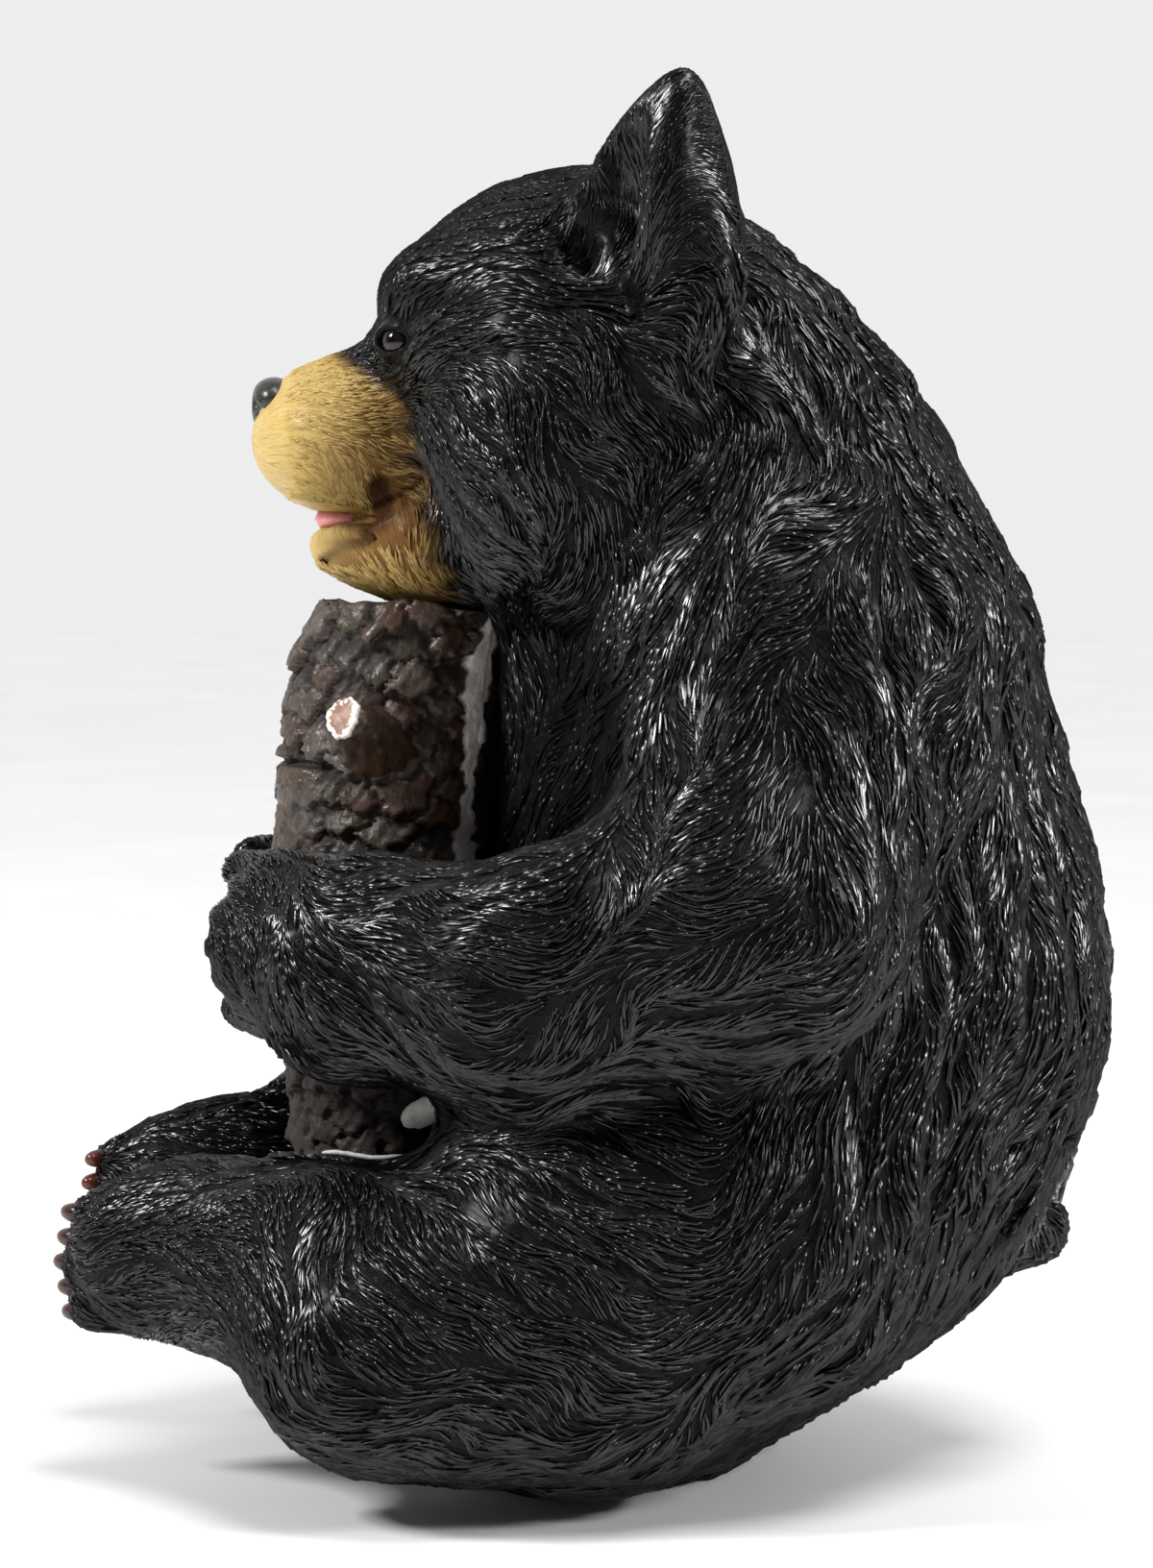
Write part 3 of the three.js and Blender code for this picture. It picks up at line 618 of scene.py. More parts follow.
def brown_and_fold_shade_mask(p):
    """1 on the dark brown lobe at the mouth's corner, brown paint deepened by painted shade under the lip;
    less in the folds, thinly along the lips and in the chin crease, painted shade in these grooves.
    """
    m = folded(p)
    lobe = 1 - ramp(ellipsoid(m, *MOUTH_LOBE), -0.8, 1.2)
    folds = 0.8 * (1 - ramp(chain(p, MOUTH_FOLD, 0.5), 0.2, 3.4))
    lips = 0.9 * (1 - ramp(chain(p, LIP_LINE, 0.5), 0.6, 4.2)) * ramp(p[:, 1], -82, -66)
    crease = 0.5 * (1 - ramp(chain(p, CHIN_CREASE, 0.3), 0.0, 2.6))
    return np.maximum.reduce([lobe, folds, lips, crease])


# Places where the hair is rubbed flat: centre and radii.
WORN_SPOTS = [((116, -14, 62), (16, 16, 8)), ((114, -12, 38), (16, 14, 6)), ((112, 2, 78), (16, 8, 3.4))]


def worn_mask(p):
    """1 on the worn spots."""
    d = np.minimum.reduce([ellipsoid(p, c, r) for c, r in WORN_SPOTS])
    return 1 - ramp(d, -1.5, 1.0)


def matt_and_shade_mask(p):
    """1 in the hollows behind the log and over the lap, which the gloss coat missed and whose black is made
    darker there as painted shade; half on the brow, which only loses gloss.
    """
    m = folded(p)
    hollow = ellipsoid(m, (58, -6, 206), (36, 44, 44))
    lap = ellipsoid(m, (60, -30, 106), (34, 44, 16))
    brow = 0.5 * ramp(p[:, 2], 322, 345) * ramp(-p[:, 1], -18, 6)
    return np.maximum(1 - ramp(np.minimum(hollow, lap), -8, 4), brow)


def pad_mask(p):
    """1 on the palms and the soles, which face inwards and carry smooth pads."""
    m = np.abs(p[:, 0])
    sole = (1 - ramp(m, 27, 31)) * ramp(-p[:, 1], 96, 104) * (p[:, 2] < 70)
    back_of_hand = 0.68 * (m - 29) - 0.73 * (p[:, 1] + 98)
    at_hand = (m < 46) * (p[:, 2] > 110) * (p[:, 2] < 190)
    palm = (1 - ramp(back_of_hand, -4, -1)) * ramp(-p[:, 1], 60, 66) * at_hand
    return np.maximum(sole, palm)


# ---------------------------------------------------------------- meshes

def piece(name, corners, faces, material, node, **attributes):
    """A Blender mesh from corners in millimetres, its faces as a list of equal rows, and its own
    point attributes. It rides on the part's one body and stands for the solid called node."""
    corners = np.asarray(corners, float)
    groups = faces if isinstance(faces, list) else [faces]
    mesh = bpy.data.meshes.new(name)
    mesh.vertices.add(len(corners))
    mesh.vertices.foreach_set("co", ((corners + HOME) * MM).astype(F).ravel())
    loops = np.concatenate([g.ravel() for g in groups]).astype(np.int32)
    sizes = np.concatenate([np.full(len(g), g.shape[1]) for g in groups])
    mesh.loops.add(len(loops))
    mesh.loops.foreach_set("vertex_index", loops)
    mesh.polygons.add(len(sizes))
    mesh.polygons.foreach_set("loop_start", (np.cumsum(sizes) - sizes).astype(np.int32))
    mesh.polygons.foreach_set("use_smooth", np.full(len(sizes), True))
    mesh.update(calc_edges=True)
    mesh.validate()
    for key, values in attributes.items():
        values = np.asarray(values, F)
        if values.ndim == 1:
            mesh.attributes.new(key, "FLOAT", "POINT").data.foreach_set("value", values)
        else:
            domain = "CORNER" if values.size == 3 * len(loops) else "POINT"
            mesh.attributes.new(key, "FLOAT_VECTOR", domain).data.foreach_set("vector", values.ravel())
    thing = bpy.data.objects.new(name, mesh)
    bpy.context.scene.collection.objects.link(thing)
    mesh.materials.append(material)
    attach(thing, "root")
    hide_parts(node)


def grid_faces(rows, columns):
    """Faces of a grid of corners, row after row, whose columns close on themselves."""
    r, c = np.meshgrid(np.arange(rows - 1), np.arange(columns), indexing="ij")
    n = (c + 1) % columns
    return np.stack([r * columns + c, r * columns + n, (r + 1) * columns + n, (r + 1) * columns + c],
                    -1).reshape(-1, 4)


def capped(rings, first, last):
    """A closed skin: rings of equal size, with a point before the first and after the last."""
    rows, columns = rings.shape[:2]
    corners = np.concatenate([rings.reshape(-1, 3), [first], [last]])
    i = np.arange(columns)
    n = (i + 1) % columns
    start = np.stack([np.full(columns, rows * columns), n, i], -1)
    top = (rows - 1) * columns
    end = np.stack([np.full(columns, rows * columns + 1), top + i, top + n], -1)
    return corners, [grid_faces(rows, columns), start, end]


def tube(path, wide, tall, side, around=16, ends=(0.5, 0.5)):
    """An oval carried along a path: its width lies along side, its height across side and path."""
    path = np.asarray(path, float)
    forward = unit(np.gradient(path, axis=0))
    up = unit(np.cross(forward, side))
    across = np.cross(up, forward)
    turn = np.linspace(0, 2 * np.pi, around, endpoint=False)
    rings = (path[:, None] + across[:, None] * (np.cos(turn)[:, None] * np.asarray(wide)[:, None, None])
             + up[:, None] * (np.sin(turn)[:, None] * np.asarray(tall)[:, None, None]))
    return capped(rings, path[0] - forward[0] * ends[0], path[-1] + forward[-1] * ends[1])


def merged(parts):
    """Several closed skins as one list of corners and faces."""
    corners, faces, start = [], [], 0
    for part_corners, part_faces in parts:
        corners.append(part_corners)
        faces += [f + start for f in part_faces]
        start += len(part_corners)
    return np.concatenate(corners), faces


# ---------------------------------------------------------------- materials

class Wiring:
    """Adds nodes to a tree: add(type, settings, inputs). An input is named, or numbered as i0, i1."""

    def __init__(self, tree):
        self.tree = tree

    def add(self, kind, settings=None, **inputs):
        n = self.tree.nodes.new("ShaderNode" + kind)
        for key, value in (settings or {}).items():
            setattr(n, key, value)
        for key, value in inputs.items():
            numbered = key[0] == "i" and key[1:].isdigit()
            self.put(value, n.inputs[int(key[1:])] if numbered else n.inputs[key.replace("_", " ")])
        return n

    def put(self, value, socket):
        """Links an output to the socket, or sets a plain value on it."""
        if isinstance(value, bpy.types.NodeSocket):
            self.tree.links.new(value, socket)
        else:
            socket.default_value = value

    def math(self, operation, a, b=0.0, clamp=False):
        """One sum on two numbers."""
        n = self.add("Math", {"operation": operation, "use_clamp": clamp}, i0=a, i1=b)
        return n.outputs[0]

    def between(self, value, low, high, to_low=0.0, to_high=1.0):
        """The value's place between low and high, smoothed, mapped to to_low and to_high."""
        n = self.add("MapRange", {"interpolation_type": "SMOOTHSTEP"}, Value=value)
        for key, v in (("From Min", low), ("From Max", high), ("To Min", to_low), ("To Max", to_high)):
            n.inputs[key].default_value = v
        return n.outputs["Result"]

    def mix(self, factor, a, b):
        """Colour a where the factor is 0, colour b where it is 1."""
        n = self.add("Mix", {"data_type": "RGBA"})
        for number, value in ((0, factor), (6, a), (7, b)):
            self.put(value, n.inputs[number])
        return n.outputs[2]

    def attribute(self, name):
        """One of the piece's own point values."""
        return self.add("Attribute", {"attribute_name": name}).outputs["Fac"]

    def place(self):
        """Where the point lies on the piece."""
        return self.add("TexCoord").outputs["Object"]

    def noise(self, scale, detail=4.0, roughness=0.55, vector=None):
        """A noise from about 0.2 to 0.8, its grains 1/scale metres apart."""
        n = self.add("TexNoise", Vector=vector or self.place())
        for key, value in (("Scale", scale), ("Detail", detail), ("Roughness", roughness)):
            self.put(value, n.inputs[key])
        return n.outputs["Fac"]


def group(name, inputs, outputs, build):
    """A shader node group with named number inputs and outputs, wired by build(wiring, inputs)."""
    tree = bpy.data.node_groups.new(name, "ShaderNodeTree")
    for key, value in inputs.items():
        number = tree.interface.new_socket(name=key, in_out="INPUT", socket_type="NodeSocketFloat")
        number.default_value = value
    for key in outputs:
        tree.interface.new_socket(name=key, in_out="OUTPUT", socket_type="NodeSocketFloat")
    source, sink = tree.nodes.new("NodeGroupInput"), tree.nodes.new("NodeGroupOutput")
    made = build(Wiring(tree), source.outputs)
    for key, out in zip(outputs, made):
        tree.links.new(out, sink.inputs[key])
    return tree


def build_mottle(w, i):
    """Two noises, one four times finer, mapped to the range asked for."""
    coarse = w.noise(i["Scale"], 3.0)
    fine = w.noise(w.math("MULTIPLY", i["Scale"], 4.0), 3.0)
    both = w.math("ADD", w.math("MULTIPLY", coarse, 0.65), w.math("MULTIPLY", fine, 0.35))
    spread_out = w.between(both, 0.36, 0.64)
    reach = w.math("SUBTRACT", i["High"], i["Low"])
    return [w.math("ADD", i["Low"], w.math("MULTIPLY", spread_out, reach))]


def build_chips(w, i):
    """Small ragged flecks where the top coat is gone, more of them as Amount grows."""
    flecks = w.noise(i["Scale"], 5.0, 0.7)
    patches = w.noise(w.math("MULTIPLY", i["Scale"], 0.12), 2.0)
    level = w.math("ADD", w.math("MULTIPLY", flecks, 0.7), w.math("MULTIPLY", patches, 0.3))
    edge = w.math("SUBTRACT", 0.82, i["Amount"])
    return [w.math("MULTIPLY", w.math("SUBTRACT", level, edge), 40.0, clamp=True)]


def build_coat_skin(w, i):
    """Height of a brushed coat: a fine peel and slow waves."""
    peel = w.noise(i["Scale"], 2.0)
    slow = w.noise(w.math("MULTIPLY", i["Scale"], 0.22), 2.0)
    return [w.math("MULTIPLY", w.math("ADD", peel, w.math("MULTIPLY", slow, 1.5)), i["Depth"])]


def build_lighter_facing_up(w, i):
    """A mask on what faces up, broken by a noise."""
    up = w.add("SeparateXYZ", Vector=w.add("NewGeometry").outputs["Normal"]).outputs["Z"]
    lying = w.between(up, 0.35, 1.0)
    broken = w.between(w.noise(70.0, 4.0), 0.42, 0.7)
    return [w.math("MULTIPLY", w.math("MULTIPLY", lying, broken), i["Amount"])]


MOTTLE = group("mottle", {"Scale": 30.0, "Low": 0.0, "High": 1.0}, ["Level"], build_mottle)
CHIPS = group("chips", {"Scale": 400.0, "Amount": 0.1}, ["Mask"], build_chips)
COAT_SKIN = group("coat_skin", {"Scale": 900.0, "Depth": 1.0}, ["Height"], build_coat_skin)
LIGHTER_FACING_UP = group("lighter_facing_up", {"Amount": 0.2}, ["Mask"], build_lighter_facing_up)


def use(w, tree, output, **values):
    """A node group placed with its own values, and one of its outputs."""
    n = w.tree.nodes.new("ShaderNodeGroup")
    n.node_tree = tree
    for key, value in values.items():
        n.inputs[key].default_value = value
    return n.outputs[output]


def material(name, build, **constants):
    """A Principled material; build wires what varies, constants are set on the shader itself."""
    made = bpy.data.materials.new(name)
    made.use_nodes = True
    shader = made.node_tree.nodes["Principled BSDF"]
    for key, value in constants.items():
        shader.inputs[key.replace("_", " ")].default_value = value
    w = Wiring(made.node_tree)
    for key, out in build(w).items():
        made.node_tree.links.new(out, shader.inputs[key])
    return made


def bump(w, height, strength, distance):
    """Normal of a height, distance metres high where the height is 1."""
    n = w.add("Bump", Height=height)
    n.inputs["Strength"].default_value = strength
    n.inputs["Distance"].default_value = distance
    return n.outputs["Normal"]


def rgb(*c):
    """A plain colour, fully opaque."""
    return (*c, 1.0)


def fur_paint(w):
    """Black paint whose tone shifts from hair to hair; tan with a brown wash where `tan` says. Fine
    strands follow `comb`: a noise drawn out along the hair."""
    shade, along, tan, wash = (w.attribute(k) for k in ("shade", "along", "tan", "wash"))
    brown_and_fold_shade, worn, matt_and_shade = w.attribute("brown_and_fold_shade"), w.attribute("worn"), w.attribute("matt_and_shade")
    comb = w.add("Attribute", {"attribute_name": "comb"}).outputs["Vector"]
    strand = w.add("Mapping", Vector=comb, Scale=(0.80, 0.06, 1.0)).outputs["Vector"]
    strands = w.noise(1.0, 2.0, 0.6, strand)
    mottled = use(w, MOTTLE, "Level", Scale=55.0, Low=0.0, High=1.0)
    black = w.mix(shade, rgb(0.0018, 0.0017, 0.0019), rgb(0.0050, 0.0050, 0.0055))
    black = w.mix(w.math("MULTIPLY", mottled, 0.5), black, rgb(0.0050, 0.0036, 0.0036))
    # Lighter grey, a little blue, where the fur faces up.
    black = w.mix(use(w, LIGHTER_FACING_UP, "Mask", Amount=0.10), black, rgb(0.016, 0.018, 0.020))
    black = w.mix(w.math("MULTIPLY", worn, 0.8), black, rgb(0.040, 0.030, 0.027))
    black = w.mix(use(w, CHIPS, "Mask", Scale=520.0, Amount=0.055), black, rgb(0.42, 0.42, 0.41))
    # Painted shade: the hollows behind the log and over the lap go darker still.
    black = w.mix(w.between(matt_and_shade, 0.55, 1.0, 0.0, 0.85), black, rgb(0.0011, 0.0011, 0.0012))
    light = w.mix(mottled, rgb(0.555, 0.384, 0.122), rgb(0.63, 0.452, 0.162))
    groove = w.math("SUBTRACT", 1.0, w.math("MULTIPLY", along, w.between(strands, 0.35, 0.6, 0.45, 1.0)))
    light = w.mix(w.math("MULTIPLY", groove, wash), light, rgb(0.130, 0.052, 0.013))
    light = w.mix(w.math("MULTIPLY", wash, 0.10), light, rgb(0.24, 0.130, 0.040))
    light = w.mix(w.between(tan, 0.92, 0.25), light, rgb(0.040, 0.021, 0.010))
    colour = w.mix(w.between(tan, 0.06, 0.46), black, light)
    # Painted shade in the mouth's folds, along the lip line and in the chin crease, over the brown of the
    # mouth's corner.
    colour = w.mix(brown_and_fold_shade, colour, rgb(0.040, 0.016, 0.007))
    ridge = w.math("MULTIPLY", along, w.between(strands, 0.38, 0.58, 0.35, 1.0))
    gloss = w.math("ADD", 0.012, w.math("MULTIPLY", ridge, w.between(tan, 0.0, 0.5, 1.0, 0.25)))
    gloss = w.math("MULTIPLY", gloss, w.math("SUBTRACT", 1.0, w.math("MULTIPLY", matt_and_shade, 0.85)))
    rough = w.math("ADD", use(w, MOTTLE, "Level", Scale=90.0, Low=0.30, High=0.44),
                   w.math("MULTIPLY", w.math("SUBTRACT", shade, 0.5), 0.10))
    dull = w.math("MAXIMUM", tan, w.math("MULTIPLY", matt_and_shade, 3.0))
    rough = w.math("ADD", rough, w.math("MULTIPLY", dull, 0.10))
    skin = use(w, COAT_SKIN, "Height", Scale=1500.0, Depth=0.12)
    height = w.math("ADD", skin, w.math("MULTIPLY", strands, w.math("SUBTRACT", 1.0, worn)))
    return {"Base Color": colour, "Roughness": rough, "Coat Weight": gloss,
            "Normal": bump(w, height, 1.0, 0.0016)}


def bark_paint(w):
    """Brown plates, each its own tint, nearly black between them, lighter on worn edges; near the log's
    foot, under the forearm, the whole bark takes the near black as painted shade.
    """
    depth, tint, bare = (w.attribute(k) for k in ("depth", "tint", "bare"))
    mottled = use(w, MOTTLE, "Level", Scale=120.0, Low=0.0, High=1.0)
    brown = w.mix(w.between(tint, 0.1, 0.5), rgb(0.066, 0.031, 0.017), rgb(0.060, 0.045, 0.028))
    brown = w.mix(w.between(tint, 0.55, 0.95), brown, rgb(0.078, 0.060, 0.048))
    brown = w.mix(w.math("MULTIPLY", mottled, 0.6), brown, rgb(0.016, 0.009, 0.006))
    # Near black between the plates, and over the whole foot of the log as painted shade under the forearm.
    brown = w.mix(w.between(depth, 0.45, 0.0), brown, rgb(0.016, 0.009, 0.0065))
    rubbed = w.math("MULTIPLY", w.between(depth, 0.72, 1.0), w.between(w.noise(260.0, 5.0), 0.45, 0.62))
    brown = w.mix(w.math("MULTIPLY", rubbed, 0.40), brown, rgb(0.17, 0.13, 0.10))
    # Lighter grey where the bark faces up.
    brown = w.mix(use(w, LIGHTER_FACING_UP, "Mask", Amount=0.12), brown, rgb(0.10, 0.095, 0.088))
    brown = w.mix(use(w, CHIPS, "Mask", Scale=420.0, Amount=0.09), brown, rgb(0.55, 0.53, 0.50))
    raw = w.mix(w.between(w.noise(180.0, 5.0), 0.35, 0.65), rgb(0.90, 0.86, 0.83), rgb(0.66, 0.56, 0.51))
    colour = w.mix(bare, brown, raw)
    rough = w.math("ADD", use(w, MOTTLE, "Level", Scale=150.0, Low=0.34, High=0.58),
                   w.math("MULTIPLY", bare, 0.2))
    rough = w.math("ADD", rough, w.between(depth, 0.35, 0.0, 0.0, 0.25))
    skin = use(w, COAT_SKIN, "Height", Scale=520.0, Depth=1.0)
    return {"Base Color": colour, "Roughness": rough, "Normal": bump(w, skin, 0.8, 0.0006)}


def branch_end_paint(w):
    """Reddish-brown cut face with a chipped white rim where `rim` says."""
    rim = w.attribute("rim")
    ragged = w.math("ADD", rim, w.between(w.noise(300.0, 5.0, 0.7), 0.3, 0.7, -0.35, 0.35))
    wood = w.mix(w.between(w.noise(240.0, 4.0), 0.35, 0.65), rgb(0.22, 0.105, 0.066), rgb(0.33, 0.18, 0.12))
    colour = w.mix(w.between(ragged, 0.74, 0.84), wood, rgb(0.74, 0.71, 0.65))
    return {"Base Color": colour, "Roughness": use(w, MOTTLE, "Level", Scale=200.0, Low=0.4, High=0.6)}


def raw_resin(w):
    """Greyish white, uneven, with a dull skin."""
    colour = w.mix(w.between(w.noise(220.0, 5.0), 0.35, 0.65), rgb(0.62, 0.60, 0.55), rgb(0.82, 0.80, 0.75))
    skin = use(w, COAT_SKIN, "Height", Scale=700.0, Depth=1.0)
    return {"Base Color": colour, "Roughness": use(w, MOTTLE, "Level", Scale=150.0, Low=0.45, High=0.65),
            "Normal": bump(w, skin, 0.6, 0.0004)}


def claw_paint(w):
    """Red-brown, darker at the root."""
    tip = w.attribute("tip")
    colour = w.mix(tip, rgb(0.012, 0.005, 0.004), rgb(0.105, 0.020, 0.012))
    colour = w.mix(use(w, CHIPS, "Mask", Scale=600.0, Amount=0.1), colour, rgb(0.30, 0.14, 0.10))
    return {"Base Color": colour, "Roughness": use(w, MOTTLE, "Level", Scale=260.0, Low=0.18, High=0.34)}


def nose_paint(w):
    """Near black with a pebbled skin."""
    colour = w.mix(use(w, MOTTLE, "Level", Scale=220.0, Low=0.0, High=1.0),
                   rgb(0.012, 0.011, 0.010), rgb(0.028, 0.025, 0.021))
    pebble = w.add("TexVoronoi", Vector=w.place(), Scale=900.0).outputs["Distance"]
    return {"Base Color": colour, "Roughness": use(w, MOTTLE, "Level", Scale=150.0, Low=0.2, High=0.36),
            "Normal": bump(w, pebble, 0.35, 0.0003)}


def eye_paint(w):
    """Dark brown ring round a black middle, under a clear gloss."""
    look = w.between(w.attribute("ring"), 0.42, 0.56)
    colour = w.mix(look, rgb(0.0015, 0.0014, 0.0014), rgb(0.010, 0.0045, 0.0022))
    return {"Base Color": colour, "Roughness": use(w, MOTTLE, "Level", Scale=300.0, Low=0.04, High=0.09)}


def tongue_paint(w):
    """Two pinks, mottled."""
    colour = w.mix(use(w, MOTTLE, "Level", Scale=260.0, Low=0.0, High=1.0),
                   rgb(0.62, 0.20, 0.20), rgb(0.74, 0.32, 0.30))
    return {"Base Color": colour, "Roughness": use(w, MOTTLE, "Level", Scale=200.0, Low=0.28, High=0.42)}


def floor_paint(w):
    """Off-white paper."""
    colour = w.mix(use(w, MOTTLE, "Level", Scale=3.0, Low=0.0, High=1.0),
                   rgb(0.86, 0.86, 0.86), rgb(0.89, 0.89, 0.89))
    return {"Base Color": colour, "Roughness": use(w, MOTTLE, "Level", Scale=6.0, Low=0.55, High=0.65)}


FUR = material("painted_fur", fur_paint, Specular_IOR_Level=0.075, Coat_Roughness=0.22, Coat_IOR=1.6)
BARK = material("painted_bark", bark_paint, Specular_IOR_Level=0.44)
BRANCH_END = material("branch_end", branch_end_paint)
RESIN = material("bare_resin", raw_resin)
CLAW = material("claw_paint", claw_paint)
NOSE = material("nose_paint", nose_paint)
EYE = material("eye_gloss", eye_paint)
TONGUE = material("tongue_paint", tongue_paint)
FLOOR = material("studio_floor", floor_paint)


# ---------------------------------------------------------------- body, face and fur

FACE_CENTRE, FACE_RADII = (0, -68, 300), (58, 38, 54)
EYE_AT, EYE_OUT = vec(31.0, -50.8, 324.8), unit((0.74, -0.67, 0.04))
EYE_RADIUS = 5.0


def face_region(p):
    """Distance from the bounds of the finer piece over the face."""
    return ellipsoid(p, FACE_CENTRE, FACE_RADII)


def eye_axes():
    """Out of the eye, along its slit and up."""
    slit = unit(np.cross((0.0, 0.10, 1.0), EYE_OUT))
    return np.stack([EYE_OUT, slit, np.cross(EYE_OUT, slit)])


def face_form(p):
    """The head's front with its eyelids, open mouth, hooked mouth corner and creased chin."""
    m = folded(p)
    d = bear_form(p)
    axes = eye_axes()
    lid = ellipsoid(m, EYE_AT - EYE_OUT * 0.6, (6.8, 9.0, 6.4), axes)
    d = join(d, lid, 2.5)
    d = join(d, bar(m, (26.5, -55.8, 327.2), (34.5, -49.2, 330.4), 1.3, 1.7), 2.0)
    slit = ellipsoid(m, EYE_AT + EYE_OUT * 4.8, (5.4, 5.6, 2.9), axes)
    d = carve(d, slit, 0.9)
    d = carve(d, ellipsoid(p, (0, -66, 274.0), (26.5, 18.5, 2.2)), 0.9)
    d = carve(d, chain(p, MOUTH_FOLD, 1.0), 1.6)
    d = carve(d, chain(p, CHIN_CREASE, 0.9), 1.8)
    d = carve(d, ellipsoid(m, (30.4, -57.2, 280.6), (4.6, 4.6, 6.8)), 1.6)
    d = join(d, chain(p, [(27.6, -50.4, 279.0), (28.4, -52.2, 274.6), (27.2, -57.5, 271.4)], 1.5), 2.0)
    d = join(d, chain(p, [(24.5, -62.0, 270.8), (19.0, -69.0, 270.2), (9.0, -73.6, 268.2),
                          (0.0, -75.0, 267.6)], 2.6), 2.5)
    d = carve(d, bar(p, (0, -96.5, 303), (0, -92.5, 284), 0.9, 0.5), 1.6)
    return d + 0.9 * ramp(face_region(p), -6, 0)


EAR_RIM = [(75, 29.5, 390), (79, 26.5, 380), (80, 24, 367), (77, 21, 354), (70, 18, 342)]
EAR_PIT = ((52, 3, 351), (14, 6, 9))


def ear_region(p):
    """Distance from the bounds of the finer piece over each ear."""
    return ellipsoid(folded(p), (62, 20, 368), (38, 36, 42))


def ears_form(p):
    """The ears and the skull round them, with the outer rim's ridge from each tip to the root."""
    return join(bear_form(p), chain(p, EAR_RIM, 4.2), 9) + 0.9 * ramp(ear_region(p), -6, 0)


def body_form(p):
    """The bear sunk a little where the finer pieces of the face and the ears cover it."""
    return bear_form(p) + 1.3 * ramp(-face_region(p), 0, 6) + 2.0 * ramp(-ear_region(p), 0, 6)


rng = np.random.default_rng(7)
skin = sampled(bear_form, ROOM_LOW, ROOM_HIGH, BODY_STEP)
plain_corners, plain_faces = net(skin)
lie = Lie(skin)
tufts = Tufts(skin, plain_corners, plain_faces, lie, rng)


def quiet(p):
    """0 where tufts are left out: lips, eyes, ears, pads, worn spots and the seat."""
    eyes = ramp(np.linalg.norm(folded(p) - EYE_AT, axis=1), 7, 16)
    muzzle = ramp(nose_distance(p), 40, 80)
    muzzle = muzzle * ramp(ear_region(p), -12, -2)
    return eyes * muzzle * (1 - pad_mask(p)) * (1 - worn_mask(p)) * ramp(p[:, 2], 1, 10)


def furred(field, step):
    """A copy of the field with the tufts' relief added within 3.2 steps of its surface."""
    near = np.argwhere(np.abs(field.values) < 3.2 * step)
    p = field.points(near)
    out = Sampled(field.low, field.step, field.values.copy())
    out.values[tuple(near.T)] -= ((tufts.relief(p) - TUFT_SINK) * quiet(p)).astype(F)
    return out


pelt = furred(skin, skin.step)
body_field = sampled(body_form, ROOM_LOW, ROOM_HIGH, BODY_STEP)
body_field = furred(body_field, body_field.step)
over_floor = body_field.low[2] + body_field.step * np.arange(body_field.values.shape[2], dtype=F)
body_field.values = np.maximum(body_field.values, -over_floor)
corners, faces = net(body_field)
seat = corners[:, 2] < 0.6
corners = np.where(seat[:, None], corners, body_field.settle(corners, 1))
corners[:, 2] = np.maximum(corners[:, 2], 0)


def paint_values(p, comb, shade=None, along=None):
    """The attributes that the fur's paint reads."""
    n = len(p)
    # shade 0 on the skin between the hairs gives it the darkest black, painted shade in the grooves; each
    # hair gets a random tone.
    return {"comb": comb, "shade": np.zeros(n) if shade is None else shade,
            "along": np.full(n, 0.05) if along is None else along, "tan": tan_mask(p),
            "wash": wash_mask(p), "brown_and_fold_shade": brown_and_fold_shade_mask(p), "worn": worn_mask(p), "matt_and_shade": matt_and_shade_mask(p)}


body_comb = tufts.comb(corners[faces].mean(1), corners[faces])
piece("bear_body", corners, faces, FUR, "bear", **paint_values(corners, body_comb))


def fine_part(form, region, low, high, step):
    """The form with the tufts' relief on a finer grid, cut off outside the region."""
    field = furred(sampled(form, low, high, step, 4.5), BODY_STEP)
    shape = field.values.shape
    bound = region(field.points(np.indices(shape).reshape(3, -1).T)).reshape(shape)
    return Sampled(field.low, field.step, np.maximum(field.values, bound))


face = fine_part(face_form, face_region, (-56, -106, 248), (56, -22, 352), FACE_STEP)
face_corners, face_faces = net(face)
face_comb = tufts.comb(face_corners[face_faces].mean(1), face_corners[face_faces])
bare_front = 1 - ramp(face_corners[:, 1], -84, -72)
piece("bear_face", face_corners, face_faces, FUR, "bear",
      **paint_values(face_corners, face_comb, along=0.05 + 0.95 * bare_front))

ears = fine_part(ears_form, ear_region, (-104, -20, 322), (104, 60, 408), EAR_STEP)
ear_corners, ear_faces = net(ears)
ear_comb = tufts.comb(ear_corners[ear_faces].mean(1), ear_corners[ear_faces])
piece("bear_ears", ear_corners, ear_faces, FUR, "bear", **paint_values(ear_corners, ear_comb))


